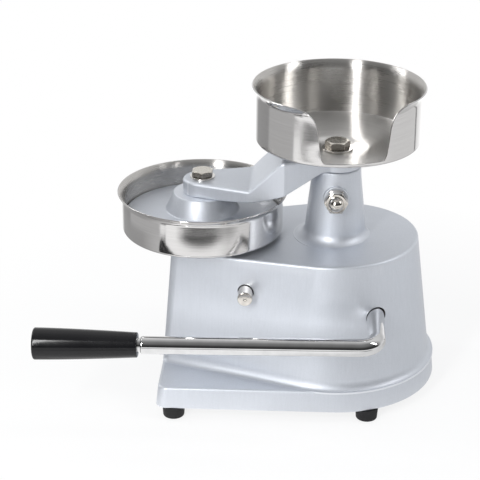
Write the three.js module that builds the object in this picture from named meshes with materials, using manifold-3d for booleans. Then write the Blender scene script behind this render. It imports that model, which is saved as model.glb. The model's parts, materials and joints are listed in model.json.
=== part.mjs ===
// Manual burger press: a cast housing with a column carries a forming bowl, and a cranked arm
// on the sliding press shaft carries the press disc and the paper bowl. Millimetres, +Z up.
// Inside this file the column axis is the Z axis and the feet stand on Z = 0.
import * as THREE from 'three';
import { mergeVertices } from 'three/addons/utils/BufferGeometryUtils.js';
import Module from 'manifold-3d';

const wasm = await Module();
wasm.setup();

// Shared clearances and facet counts
const seatGap = 0.1;
const fitGap = 0.3;
const cutOverrun = 2;
const fineSides = 32;
const roundSides = 20;
const smallSides = 12;
const hexSides = 6;
const filletSteps = 2;

// Housing: body, base flange and column
const footHeight = 10;
const flangeHeight = 18;
const flangeMargin = 7.3;
const flangeDraft = 1.6;
const flangeEndMargin = 2.1;
const flangeCorner = 8;
const flangeFillet = 2.5;
const bodyTopHeight = 129.4;
const bodyTopFallShare = 0.029;
const bodyTopRadius = 67.3;
const bodyFootRadius = 80.5;
const bodyTopTaperAngle = 14.2;
const bodyFootTaperAngle = 19.2;
const bodyEndMargin = 23.4;
const bodyFootSpread = 6.9;
const bodyCorner = 9;
const bodyTopFillet = 3.5;
const bodyFootFillet = 4;
const housingWall = 5;
const columnRise = 61.1;
const columnTopRadius = 19.7;
const columnFootRadius = 24.6;
const columnFlare = 10;
const columnEdge = 1.2;
const columnBossRadius = 20;
const columnBossDepth = 11.4;

// Feet, base cover and their screws
const footTopRadius = 9.7;
const footBottomRadius = 8.9;
const footEdge = 2;
const footInset = 11.8;
const footEndInset = 13.5;
const footRightBearingAngle = 22;
const footRightInset = 10.6;
const footScrewRadius = 2.3;
const footScrewHeadRadius = 3.8;
const footScrewHeadHeight = 2.6;
const footScrewLength = 15;
const footBossRadius = 7;
const coverThickness = 2;
const coverRecess = 2.5;
const coverScrewRadius = 1.8;
const coverScrewHeadRadius = 3.2;
const coverScrewHeadHeight = 1.6;
const coverScrewLength = 8;
const coverBossRadius = 5;
const coverScrewInset = 13.5;
const coverScrewWallInset = 0.66;
const coverScrewBearingAngle = 46;
const coverScrewRightInset = 10;

// Forming bowl, its seat and the lifter
const bowlSpacing = 109.1;
const bowlInnerDiameter = 130;
const bowlSheet = 1;
const bowlLip = 3.8;
const bowlSeatRise = 7.06;
const formingBowlDepth = 33.3;
const formingBowlCorner = 5;
const formingBowlLipHeight = 6;
const bowlSeatRadius = 34;
const bowlScrewCircle = 22;
const bowlScrewRadius = 2.3;
const bowlScrewHeadRadius = 4.6;
const bowlScrewLength = 14;
const lifterRodRadius = 6;
const lifterSpigotRadius = 4;
const lifterPlatePlay = 3;
const lifterPlateThickness = 3.5;
const lifterPlateEdge = 1;
const lifterBushWall = 2;
const lifterBossRadius = 13;
const lifterBossDepth = 14.3;

// Paper bowl with its front cut-out
const paperBowlRise = 9.7;
const paperBowlDepth = 46.2;
const paperBowlCorner = 2.4;
const paperBowlLipHeight = 9;
const paperBowlDishShare = 0.677;
const paperBowlDishDrop = 4.3;
const paperBowlSeatRadius = 24;
const paperBowlSeatRise = 1.3;
const cutOutBearingAngle = 11.5;
const cutOutHalfAngle = 22;
const cutOutSpreadAngle = 2.6;
const cutOutCorner = 18;
const cutOutFlare = 4;
const cutOutFlareWidth = 20;
const cutOutSill = 1.6;

// Press arm
const armBossHeight = 12.3;
const armBendRise = 2;
const armSlopeRise = 4.6;
const armCornerRise = 9.2;
const armHubThickness = 12.8;
const armBossRadius = 16;
const armHubRadius = 19.7;
const armBendReach = 39.6;
const armBendHalfWidth = 29.8;
const armSlopeRun = 13.5;
const armSlopeTopRun = 25.7;
const armCornerRun = 27.8;
const armCornerHalfWidth = 32.6;
const armRiseX = -12;
const armColumnGap = 1;

// Press disc with its tapered hub
const discPlay = 0.8;
const pattyDepth = 10.2;
const discEdgeThickness = 3.3;
const discThickness = 6.5;
const discHubHeight = 21.6;
const discHubFootRadius = 29.6;
const discHubTopRadius = 24.1;
const discHubFlare = 4.5;

// Large bolts and washers
const boltRadius = 4.8;
const paperBoltAcrossFlats = 18;
const paperBoltHead = 5.8;
const paperBoltLength = 36;
const paperWasherRadius = 12.6;
const paperWasherThickness = 1.8;
const discBoltAcrossFlats = 17;
const discBoltHead = 6.2;
const discBoltLength = 24;
const discWasherRadius = 9.9;
const discWasherThickness = 1;

// Press shaft, thrust spool and column bushes
const shaftRadius = 12;
const shaftSpigotRadius = 8;
const bushWall = 2.4;
const upperBushLength = 14;
const lowerBushLength = 22;
const spoolFlangeRadius = 18;
const spoolCoreRadius = 11;
const spoolBoreRadius = 7;
const spoolFlange = 4;
const spoolBoltAcrossFlats = 13;
const spoolBoltHead = 5;
const spoolBoltRadius = 3.8;
const spoolBoltLength = 18;
const spoolWasherRadius = 10.5;
const spoolWasherThickness = 2;

// Guide screw with its nuts on the column
const guideDrop = 21;
const guideScrewRadius = 4.8;
const guideTipRadius = 3.8;
const guideTipLength = 5;
const guideSlotDepth = 3.8;
const guidePadRadius = 11.5;
const guidePadProud = 3.1;
const jamNutAcrossFlats = 17;
const jamNutHeight = 4;
const acornAcrossFlats = 17;
const acornHexHeight = 5;
const acornDomeRadius = 6.3;
const acornSkirt = 0.3;

// Lever shaft, bar and grip
const leverX = 34;
const leverDrop = 41.9;
const barRadius = 7;
const barClearance = 34;
const barBend = 14;
const barDroopAngle = 1.02;
const barBendSteps = 8;
const gripStart = 183.6;
const gripLength = 84;
const gripOuterRadius = 12.7;
const gripInnerRadius = 10.2;
const gripEdge = 3.2;
const gripNeckRadius = 8.6;
const gripNeckLength = 1.8;
const gripSocketDepth = 40;
const leverHoleRadius = 8.3;
const leverBushWall = 3;
const leverBushLength = 10;
const leverBossRadius = 14.5;
const leverBossDepth = 2.47;
const leverShaftReach = 9;
const leverSwingAngle = 74;

// Crank, link and lift shaft
const crankRadius = 33;
const crankHubRadius = 12;
const crankArmInner = 19;
const crankArmWidth = 5;
const crankEndRadius = 8;
const forkPinRadius = 3.5;
const forkPinPlay = 0.9;
const linkRadius = 20;
const linkPlane = 25.6;
const linkArmWidth = 5;
const linkEndRadius = 7;
const linkRodWidth = 4;
const linkRodEye = 7;
const linkRodHalfHeight = 4.5;
const linkPinRadius = 3;
const linkPinHeadRadius = 5;
const linkPinHead = 2;
const collarRadius = 13;
const collarWidth = 8;
const collarPlay = 2.5;
const setScrewRadius = 2;
const setScrewLength = 4.6;
const liftSetback = 38.5;
const liftDrop = 29.4;
const liftShaftRadius = 6;
const liftHoleRadius = 6.6;
const liftShaftProud = 13.44;
const liftShaftCover = 3.96;
const liftShaftEdge = 1;
const liftBossRadius = 11;
const liftBossInner = 41;
const liftHubRadius = 8.5;
const liftHubWidth = 14;
const fingerRadius = 15;
const fingerNose = 4.5;
const fingerWidth = 10;
const fingerHalfDepth = 2.4;
const fingerPlay = 0.6;
const liftCollarRadius = 10;
const liftCollarWidth = 6;
const liftCollarPlay = 2.36;
const lifterFootThickness = 4;
const lifterFootHalfWidth = 8;
const lifterFootBack = 9;
const lifterFootGap = 10.5;
const lifterNutAcrossFlats = 13;
const lifterNutHeight = 5;

// Values worked out from the sizes above
const radians = THREE.MathUtils.degToRad;
const halfTurn = Math.PI;
const quarterTurn = Math.PI / 2;
const flangeTop = footHeight + flangeHeight;
const bowlInnerRadius = bowlInnerDiameter / 2;
const bodyTopReach = bowlSpacing + bodyEndMargin;
const bodyFootReach = bodyTopReach + bodyFootSpread;
const flangeReach = bodyFootReach + flangeEndMargin;
const flangeRadius = bodyFootRadius + flangeMargin;
const barStandoff = flangeRadius + barClearance;
const leverZ = bodyTopHeight - leverDrop;
const liftZ = bodyTopHeight - liftDrop;
const columnHeight = bodyTopHeight + columnRise;
const columnBossEnd = bodyTopHeight - columnBossDepth;
const bodyTopAt = (x) => bodyTopHeight + bodyTopFallShare * x;
const flareTop = bodyTopHeight + columnFlare;
const formingBowlBottom = bodyTopAt(-bowlSpacing) + bowlSeatRise;
const formingBowlRim = formingBowlBottom + formingBowlDepth;
const lifterBossEnd = formingBowlBottom - lifterBossDepth;
const lifterPlateRadius = bowlInnerRadius - lifterPlatePlay;
const discRadius = bowlInnerRadius - discPlay;
const discBottom = formingBowlBottom + pattyDepth;
const discEdgeTop = discBottom + discEdgeThickness;
const discTop = discBottom + discThickness;
const armBossUnderside = discBottom + discHubHeight + seatGap;
const armStepHeight = armBossUnderside + armBossHeight;
const armBendX = armBendReach - bowlSpacing;
const armSlopeX = armBendX + armSlopeRun;
const armSlopeTopX = armBendX + armSlopeTopRun;
const armCornerX = armBendX + armCornerRun;
const guideHeight = columnHeight - guideDrop;
const guidePadReach = columnTopRadius + guidePadProud;
const liftX = liftSetback - bowlSpacing;
const lifterFootFront = liftSetback - lifterFootGap;
const shaftBoreRadius = shaftRadius + fitGap + bushWall;
const leverBoreRadius = barRadius + fitGap + leverBushWall;
const halfSwing = radians(leverSwingAngle) / 2;
const pressTravel = 2 * crankRadius * Math.sin(halfSwing);
const forkPinHeight = leverZ - crankRadius * Math.sin(halfSwing);
const spoolGroove = 2 * (forkPinRadius + forkPinPlay);
const spoolHeight = spoolGroove + 2 * spoolFlange;
const spoolBottom = forkPinHeight - spoolHeight / 2;
const spoolTop = spoolBottom + spoolHeight;
const lifterFootBottom = liftZ - fingerRadius * Math.sin(halfSwing) + fingerNose + fingerPlay;
const lifterFootTop = lifterFootBottom + lifterFootThickness;
const lifterPlateBottom = formingBowlBottom + bowlSheet + fitGap;
const armHubUnderside = columnHeight + fitGap;
const armHubTop = armHubUnderside + armHubThickness - fitGap;
const paperBowlSeat = armHubTop + seatGap;
const paperBowlBottom = armHubTop + paperBowlRise;
const paperBowlRim = paperBowlBottom + paperBowlDepth;
const shaftTop = armHubTop - seatGap;
const coverBottom = footHeight + coverRecess;
const coverTop = coverBottom + coverThickness;

// Finishes
const finish = (color, roughness, metalness) => new THREE.MeshStandardMaterial({ color, roughness, metalness });
const silverPaint = finish(0xc9ced8, 0.38, 0.55);
const stainless = finish(0xb9b7b3, 0.22, 1);
const chrome = finish(0xd9dadc, 0.06, 1);
const nickel = finish(0xa9a294, 0.34, 1);
const steel = finish(0x8b8f94, 0.45, 1);
const bronze = finish(0xb08a4a, 0.4, 1);
const blackPlastic = finish(0x101012, 0.25, 0);
const blackRubber = finish(0x17171a, 0.85, 0);

// A closed three.js geometry becomes a solid for joining and cutting.
function solidOf(geometry) {
  const bare = geometry.clone();
  for (const name of Object.keys(bare.attributes)) {
    if (name !== 'position') bare.deleteAttribute(name);
  }
  const welded = mergeVertices(bare);
  const index = Array.from(welded.index.array);
  const kept = [];
  for (let i = 0; i < index.length; i += 3) {
    const [a, b, c] = index.slice(i, i + 3);
    if (a !== b && b !== c && c !== a) kept.push(a, b, c);
  }
  const vertProperties = Float32Array.from(welded.attributes.position.array);
  return new wasm.Manifold(new wasm.Mesh({ numProp: 3, vertProperties, triVerts: Uint32Array.from(kept) }));
}

// A solid goes back to a geometry with flat-shaded faces.
function geometryOf(solid) {
  const mesh = solid.getMesh();
  const geometry = new THREE.BufferGeometry();
  geometry.setAttribute('position', new THREE.BufferAttribute(Float32Array.from(mesh.vertProperties), 3));
  geometry.setIndex(new THREE.BufferAttribute(Uint32Array.from(mesh.triVerts), 1));
  const flat = geometry.toNonIndexed();
  flat.computeVertexNormals();
  return flat;
}

const joined = (...geometries) => geometries.map(solidOf).reduce((sum, solid) => sum.add(solid));
const cut = (solid, ...geometries) => geometries.map(solidOf).reduce((rest, tool) => rest.subtract(tool), solid);

// A profile of [radius, height] pairs turned round the Z axis.
function turned(profile, sides) {
  const points = profile.map(([radius, height]) => new THREE.Vector2(radius, height));
  return new THREE.LatheGeometry(points, sides).rotateX(quarterTurn);
}

// A ring profile closes on itself round a bore.
function turnedRing(profile, sides) {
  return turned([...profile, profile[0]], sides);
}

function rod(radius, bottom, top, sides) {
  return turned([[0, bottom], [radius, bottom], [radius, top], [0, top]], sides);
}

function tube(bore, radius, bottom, top, sides) {
  return turnedRing([[bore, bottom], [radius, bottom], [radius, top], [bore, top]], sides);
}

function hexPrism(acrossFlats, bottom, top, turn) {
  const corner = acrossFlats / 2 / Math.cos(halfTurn / hexSides);
  return rod(corner, bottom, top, hexSides).rotateZ(turn);
}

// Turned pieces lie along Y: the low end goes to the front, or to the back.
const alongY = (geometry) => geometry.rotateX(-quarterTurn);
const towardsFront = (geometry) => geometry.rotateX(quarterTurn);

// An outline drawn in X and Z, extruded along Y from the front face to the back face.
function plateXZ(shape, front, back, sides = smallSides) {
  const settings = { depth: back - front, bevelEnabled: false, curveSegments: sides / 2 };
  return new THREE.ExtrudeGeometry(shape, settings).rotateX(quarterTurn).translate(0, back, 0);
}

// An outline drawn in X and Y, extruded upwards.
function plateXY(shape, bottom, top, sides = smallSides) {
  const settings = { depth: top - bottom, bevelEnabled: false, curveSegments: sides / 2 };
  return new THREE.ExtrudeGeometry(shape, settings).translate(0, 0, bottom);
}

// Rings of equal point counts, each convex, become one closed skin with flat ends.
function loft(rings) {
  const count = rings[0].length;
  const positions = rings.flat().flatMap((point) => [point.x, point.y, point.z]);
  const index = [];
  for (let level = 0; level + 1 < rings.length; level += 1) {
    for (let i = 0; i < count; i += 1) {
      const a = level * count + i;
      const b = level * count + (i + 1) % count;
      index.push(a, b, b + count, a, b + count, a + count);
    }
  }
  const last = (rings.length - 1) * count;
  for (let i = 1; i + 1 < count; i += 1) {
    index.push(0, i + 1, i, last, last + i, last + i + 1);
  }
  const geometry = new THREE.BufferGeometry();
  geometry.setAttribute('position', new THREE.Float32BufferAttribute(positions, 3));
  geometry.setIndex(index);
  return geometry;
}

// Points on an arc of a circle, both ends included.
function arcPoints(centreX, centreY, radius, from, to, steps) {
  const points = [];
  for (let i = 0; i <= steps; i += 1) {
    const angle = from + (to - from) * i / steps;
    points.push([centreX + radius * Math.cos(angle), centreY + radius * Math.sin(angle)]);
  }
  return points;
}

// Plan outline of the body and of its flange: a round end about the column, two straight
// sides that close in by the taper, and a square left end with rounded corners.
function planOutline({ radius, taper, reach, corner }, inset) {
  const lean = radians(taper);
  const round = radius - inset;
  const bend = Math.max(corner - inset, seatGap);
  const cornerX = bend + inset - reach;
  const cornerY = (round - bend + Math.sin(lean) * cornerX) / Math.cos(lean);
  const open = quarterTurn + lean;
  return [
    ...arcPoints(0, 0, round, -open, open, roundSides),
    ...arcPoints(cornerX, cornerY, bend, open, halfTurn, filletSteps),
    ...arcPoints(cornerX, -cornerY, bend, halfTurn, 2 * halfTurn - open, filletSteps),
  ];
}

const ringAt = (outline, heightAt) => outline.map(([x, y]) => new THREE.Vector3(x, y, heightAt(x)));

const flangePlan = (share) => ({
  radius: flangeRadius - flangeDraft * share,
  taper: 0,
  reach: flangeReach - flangeDraft * share,
  corner: flangeCorner,
});

const bodyPlan = (share) => ({
  radius: THREE.MathUtils.lerp(bodyFootRadius, bodyTopRadius, share),
  taper: THREE.MathUtils.lerp(bodyFootTaperAngle, bodyTopTaperAngle, share),
  reach: THREE.MathUtils.lerp(bodyFootReach, bodyTopReach, share),
  corner: bodyCorner,
});

// Height of the body wall at a share of its way from the flange to the sloping top
const bodyHeightAt = (share) => (x) => THREE.MathUtils.lerp(flangeTop, bodyTopAt(x), share);

// Half width of the body's outside at a place along X and a height
function bodyHalfWidthAt(x, height) {
  const share = (height - flangeTop) / (bodyTopAt(x) - flangeTop);
  const { radius, taper } = bodyPlan(share);
  const lean = radians(taper);
  const onSide = x < -radius * Math.sin(lean);
  return onSide ? (radius + Math.sin(lean) * x) / Math.cos(lean) : Math.sqrt(radius * radius - x * x);
}

const leverWall = bodyHalfWidthAt(leverX + collarRadius, leverZ + collarRadius) - housingWall;
const leverBossInner = leverWall - leverBossDepth;
const collarOuter = leverBossInner - collarPlay;
const leverShaftEnd = leverBossInner + leverShaftReach;
const liftHalfWidth = bodyHalfWidthAt(liftX, liftZ);
const liftShaftFront = liftHalfWidth + liftShaftProud;
const liftShaftRear = liftHalfWidth - liftShaftCover;
const liftCollarWall = bodyHalfWidthAt(liftX - liftCollarRadius, liftZ + liftCollarRadius) - housingWall;
const liftCollarOuter = liftCollarWall - liftCollarPlay;

function flangeSkin() {
  const rings = [ringAt(planOutline(flangePlan(0), 0), () => footHeight)];
  for (let i = 0; i <= filletSteps; i += 1) {
    const angle = quarterTurn * i / filletSteps;
    const inset = flangeFillet * (1 - Math.cos(angle));
    const height = flangeTop - flangeFillet * (1 - Math.sin(angle));
    rings.push(ringAt(planOutline(flangePlan(1), inset), () => height));
  }
  return loft(rings);
}

function bodySkin() {
  const rings = [ringAt(planOutline(bodyPlan(0), -bodyFootFillet), () => flangeTop - flangeFillet)];
  for (let i = 0; i <= filletSteps; i += 1) {
    const angle = quarterTurn * i / filletSteps;
    const rise = bodyFootFillet * (1 - Math.cos(angle));
    const swell = bodyFootFillet * (1 - Math.sin(angle));
    rings.push(ringAt(planOutline(bodyPlan(0), -swell), () => flangeTop + rise));
  }
  for (let i = 0; i <= filletSteps; i += 1) {
    const angle = quarterTurn * i / filletSteps;
    const inset = bodyTopFillet * (1 - Math.cos(angle));
    const drop = bodyTopFillet * (1 - Math.sin(angle));
    rings.push(ringAt(planOutline(bodyPlan(1), inset), (x) => bodyTopAt(x) - drop));
  }
  return loft(rings);
}

function columnSkin() {
  const flareX = columnFootRadius + columnFlare;
  const flare = arcPoints(flareX, flareTop, columnFlare, -quarterTurn, -halfTurn, filletSteps);
  const profile = [
    [0, columnBossEnd],
    [columnBossRadius, columnBossEnd],
    [columnBossRadius, bodyTopHeight - housingWall],
    [columnFootRadius + columnFlare, bodyTopHeight - housingWall],
    ...flare,
    [columnTopRadius, columnHeight - columnEdge],
    [columnTopRadius - columnEdge, columnHeight],
    [0, columnHeight],
  ];
  return turned(profile, fineSides);
}

function bodyCavity() {
  const floor = ringAt(planOutline(bodyPlan(0), housingWall), () => footHeight - cutOverrun);
  const foot = ringAt(planOutline(bodyPlan(0), housingWall), () => flangeTop);
  const roof = ringAt(planOutline(bodyPlan(1), housingWall), (x) => bodyTopAt(x) - housingWall);
  return loft([floor, foot, roof]);
}

function flangeCavity() {
  const plan = planOutline(flangePlan(1), housingWall);
  return loft([ringAt(plan, () => footHeight - cutOverrun), ringAt(plan, () => flangeTop - housingWall)]);
}

const leftPlace = (inset, halfSpacing) => [inset - flangeReach, halfSpacing];
const roundPlace = (inset, bearing) => {
  const reach = flangeRadius - inset;
  return [reach * Math.sin(radians(bearing)), reach * Math.cos(radians(bearing))];
};
const [footLeftX, footLeftY] = leftPlace(footEndInset, flangeRadius - footInset);
const [footRightX, footRightY] = roundPlace(footRightInset, footRightBearingAngle);
const coverScrewLeftX = coverScrewInset - flangeReach;
const coverScrewLeftY = bodyHalfWidthAt(coverScrewLeftX, flangeTop) - coverScrewWallInset;
const [coverScrewRightX, coverScrewRightY] = roundPlace(coverScrewRightInset, coverScrewBearingAngle);
const footPlaces = [
  ['front_left', footLeftX, -footLeftY],
  ['front_right', footRightX, -footRightY],
  ['rear_left', footLeftX, footLeftY],
  ['rear_right', footRightX, footRightY],
];
const coverScrewPlaces = [
  ['front_left', coverScrewLeftX, -coverScrewLeftY],
  ['front_right', coverScrewRightX, -coverScrewRightY],
  ['rear_left', coverScrewLeftX, coverScrewLeftY],
  ['rear_right', coverScrewRightX, coverScrewRightY],
];

// Pegs cast under the flange that take the feet and the cover screws
function flangeBosses() {
  const feet = footPlaces.map(([, x, y]) => {
    return rod(footBossRadius, footHeight, flangeTop - flangeFillet, smallSides).translate(x, y, 0);
  });
  const screws = coverScrewPlaces.map(([, x, y]) => {
    return rod(coverBossRadius, coverTop + seatGap, flangeTop - flangeFillet, smallSides).translate(x, y, 0);
  });
  return [...feet, ...screws];
}

// Round bosses inside the side walls, which hold the two cross shafts and end within the wall
function shaftBosses() {
  const boss = (x, height, radius, inner, side) => {
    const outer = bodyHalfWidthAt(x, height);
    return alongY(rod(radius, inner, outer, roundSides)).rotateZ(side > 0 ? 0 : halfTurn).translate(x, 0, height);
  };
  const inWall = loft([
    ringAt(planOutline(bodyPlan(0), housingWall / 2), () => flangeTop),
    ringAt(planOutline(bodyPlan(1), housingWall / 2), (x) => bodyTopAt(x) - housingWall / 2),
  ]);
  return joined(
    boss(leverX, leverZ, leverBossRadius, leverBossInner, 1),
    boss(leverX, leverZ, leverBossRadius, leverBossInner, -1),
    boss(liftX, liftZ, liftBossRadius, liftBossInner, 1),
  ).intersect(solidOf(inWall));
}

// Round seat for the forming bowl, kept within the body's outline, with the lifter's guide below
function bowlSeat() {
  const top = formingBowlBottom - seatGap;
  const root = bodyTopAt(-bowlSpacing) - housingWall;
  const seat = rod(bowlSeatRadius, root, top, roundSides).translate(-bowlSpacing, 0, 0);
  const outline = planOutline(bodyPlan(1), bodyTopFillet);
  const within = loft([ringAt(outline, () => columnBossEnd), ringAt(outline, () => columnHeight)]);
  const guide = rod(lifterBossRadius, lifterBossEnd, top, roundSides).translate(-bowlSpacing, 0, 0);
  return solidOf(seat).intersect(solidOf(within)).add(solidOf(guide));
}

function housingBores() {
  const pressBore = rod(shaftBoreRadius, columnBossEnd - cutOverrun, columnHeight + cutOverrun, fineSides);
  const guideHole = towardsFront(rod(guideScrewRadius + fitGap, 0, guidePadReach + cutOverrun, smallSides))
    .translate(0, 0, guideHeight);
  const leverFront = bodyHalfWidthAt(leverX, leverZ);
  const leverHole = towardsFront(rod(leverHoleRadius, 0, leverFront + housingWall, roundSides))
    .translate(leverX, 0, leverZ);
  const bushHoles = [1, -1].map((side) => {
    const bore = rod(leverBoreRadius, leverBossInner - cutOverrun, leverBossInner + leverBushLength, roundSides);
    return alongY(bore).rotateZ(side > 0 ? 0 : halfTurn).translate(leverX, 0, leverZ);
  });
  const liftFront = bodyHalfWidthAt(liftX, liftZ) + housingWall;
  const liftHole = towardsFront(rod(liftHoleRadius, 0, liftFront, roundSides)).translate(liftX, 0, liftZ);
  const liftRear = alongY(rod(liftHoleRadius, 0, liftShaftRear + seatGap, roundSides)).translate(liftX, 0, liftZ);
  const bushRadius = lifterRodRadius + fitGap + lifterBushWall + fitGap;
  const lifterBore = rod(bushRadius, lifterBossEnd - cutOverrun, formingBowlBottom + cutOverrun, smallSides)
    .translate(-bowlSpacing, 0, 0);
  return [pressBore, guideHole, leverHole, ...bushHoles, liftHole, liftRear, lifterBore];
}

const screwCircle = [0, 1, 2].map((i) => {
  const angle = i * 2 * halfTurn / 3 + quarterTurn;
  return [bowlScrewCircle * Math.cos(angle) - bowlSpacing, bowlScrewCircle * Math.sin(angle)];
});

function screwHoles() {
  const top = formingBowlBottom + bowlSheet;
  const bowl = screwCircle.map(([x, y]) => {
    const head = bowlScrewHeadRadius + fitGap;
    const neck = bowlScrewRadius + fitGap;
    const shoulder = top - head + neck;
    const end = top - bowlScrewLength - fitGap;
    const above = top + cutOverrun;
    const profile = [[0, end], [neck, end], [neck, shoulder], [head, top], [head, above], [0, above]];
    return turned(profile, smallSides).translate(x, y, 0);
  });
  const feet = footPlaces.map(([, x, y]) => {
    const end = footEdge + seatGap + footScrewHeadHeight + footScrewLength + fitGap;
    return rod(footScrewRadius + fitGap, 0, end, smallSides).translate(x, y, 0);
  });
  const cover = coverScrewPlaces.map(([, x, y]) => {
    return rod(coverScrewRadius + fitGap, 0, coverBottom + coverScrewLength + fitGap, smallSides).translate(x, y, 0);
  });
  return [bowl, feet, cover].flat();
}

function housing() {
  const shell = cut(joined(flangeSkin(), bodySkin()), bodyCavity(), flangeCavity());
  const pad = towardsFront(rod(guidePadRadius, shaftRadius, guidePadReach, roundSides)).translate(0, 0, guideHeight);
  const additions = joined(columnSkin(), pad, ...flangeBosses());
  const whole = shell.add(additions).add(bowlSeat()).add(shaftBosses());
  return cut(whole, ...housingBores(), ...screwHoles());
}

function baseCover() {
  const outline = planOutline(flangePlan(1), housingWall + fitGap);
  const plate = loft([ringAt(outline, () => coverBottom), ringAt(outline, () => coverTop)]);
  const feet = footPlaces.map(([, x, y]) => {
    return rod(footBossRadius + fitGap, 0, flangeTop, smallSides).translate(x, y, 0);
  });
  const screws = coverScrewPlaces.map(([, x, y]) => {
    return rod(coverScrewRadius + fitGap, 0, flangeTop, smallSides).translate(x, y, 0);
  });
  return cut(solidOf(plate), ...feet, ...screws);
}

// Pan-head screws driven upwards: head radius, head height, shank radius and length
function panScrew(headRadius, headHeight, shankRadius, length) {
  return turned([
    [0, 0],
    [headRadius, 0],
    [headRadius, headHeight],
    [shankRadius, headHeight],
    [shankRadius, headHeight + length],
    [0, headHeight + length],
  ], smallSides);
}

const coverScrew = () => panScrew(coverScrewHeadRadius, coverScrewHeadHeight, coverScrewRadius, coverScrewLength);
const footScrew = () => panScrew(footScrewHeadRadius, footScrewHeadHeight, footScrewRadius, footScrewLength);

function rubberFoot() {
  const recess = footScrewHeadHeight + 2 * seatGap + footEdge;
  const edge = arcPoints(footBottomRadius - footEdge, footEdge, footEdge, -quarterTurn, 0, filletSteps);
  const top = footHeight - seatGap;
  return turnedRing([
    [footScrewHeadRadius + fitGap, 0],
    ...edge,
    [footTopRadius, top],
    [footScrewRadius + fitGap, top],
    [footScrewRadius + fitGap, recess],
    [footScrewHeadRadius + fitGap, recess],
  ], smallSides);
}

// Offset of a point on the sheet's middle line along the profile's own normal
function sheetSides(profile) {
  return profile.map(([radius, height], i) => {
    const [r0, z0] = profile[Math.max(i - 1, 0)];
    const [r1, z1] = profile[Math.min(i + 1, profile.length - 1)];
    const length = Math.hypot(r1 - r0, z1 - z0);
    const nr = (z1 - z0) / length;
    const nz = (r0 - r1) / length;
    return [[radius, height], [nr * bowlSheet / 2, nz * bowlSheet / 2]];
  });
}

// A bowl pressed from sheet: rows climb from the centre hole over the floor to the rim and
// columns go round. A cell that is left out opens the wall, and every free edge gets its strip.
function pressedBowl(rows, columns, pointAt, isOpen) {
  const positions = [];
  const index = [];
  const vertex = (side, i, j) => (side * rows + i) * columns + (j + columns) % columns;
  for (const side of [1, -1]) {
    for (let i = 0; i < rows; i += 1) {
      for (let j = 0; j < columns; j += 1) positions.push(...pointAt(i, j, side));
    }
  }
  const quad = (a, b, c, d) => index.push(a, b, c, a, c, d);
  const present = (i, j) => i >= 0 && i + 1 < rows && !isOpen(i, (j + columns) % columns);
  for (let i = 0; i + 1 < rows; i += 1) {
    for (let j = 0; j < columns; j += 1) {
      if (!present(i, j)) continue;
      quad(vertex(0, i, j), vertex(0, i, j + 1), vertex(0, i + 1, j + 1), vertex(0, i + 1, j));
      quad(vertex(1, i, j), vertex(1, i + 1, j), vertex(1, i + 1, j + 1), vertex(1, i, j + 1));
      if (!present(i - 1, j)) quad(vertex(1, i, j), vertex(1, i, j + 1), vertex(0, i, j + 1), vertex(0, i, j));
      if (!present(i + 1, j)) {
        quad(vertex(0, i + 1, j), vertex(0, i + 1, j + 1), vertex(1, i + 1, j + 1), vertex(1, i + 1, j));
      }
      if (!present(i, j - 1)) quad(vertex(0, i, j), vertex(0, i + 1, j), vertex(1, i + 1, j), vertex(1, i, j));
      if (!present(i, j + 1)) {
        quad(vertex(0, i, j + 1), vertex(1, i, j + 1), vertex(1, i + 1, j + 1), vertex(0, i + 1, j + 1));
      }
    }
  }
  const geometry = new THREE.BufferGeometry();
  geometry.setAttribute('position', new THREE.Float32BufferAttribute(positions, 3));
  geometry.setIndex(index);
  const used = mergeVertices(geometry.toNonIndexed());
  return solidOf(used);
}

// The wall line from the corner bend up to the flared lip, as [radius, height] pairs
const lipShares = [0.4, 0.75, 1];
function wallLine(bottom, rim, corner, lipHeight) {
  const middle = bowlInnerRadius + bowlSheet / 2;
  const base = bottom + bowlSheet / 2;
  const bend = arcPoints(middle - corner, base + corner, corner, -quarterTurn, 0, filletSteps);
  const lip = lipShares.map((share) => {
    return [middle + bowlLip * share * share, rim - lipHeight * (1 - share)];
  });
  return [...bend, [middle, rim - lipHeight], ...lip];
}

function formingBowl() {
  const base = formingBowlBottom + bowlSheet / 2;
  const hole = lifterRodRadius + fitGap + seatGap;
  const line = [[hole, base], ...wallLine(formingBowlBottom, formingBowlRim, formingBowlCorner, formingBowlLipHeight)];
  const sheet = sheetSides(line);
  const bowl = pressedBowl(sheet.length, fineSides, (i, j, side) => {
    const [[radius, height], [nr, nz]] = sheet[i];
    const angle = 2 * halfTurn * j / fineSides;
    const reach = radius + nr * side;
    return [reach * Math.cos(angle), reach * Math.sin(angle), height + nz * side];
  }, () => false);
  const holes = screwCircle.map(([x, y]) => {
    const head = bowlScrewHeadRadius + fitGap;
    return rod(head, formingBowlBottom - cutOverrun, formingBowlBottom + cutOverrun, smallSides)
      .translate(x + bowlSpacing, y, 0);
  });
  return cut(bowl, ...holes);
}

// Columns of the paper bowl: close together beside the cut-out, even round the back
const edgeColumnShares = [0, 0.2, 0.5, 1];
const sillColumns = 5;
const backColumns = 23;

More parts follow.
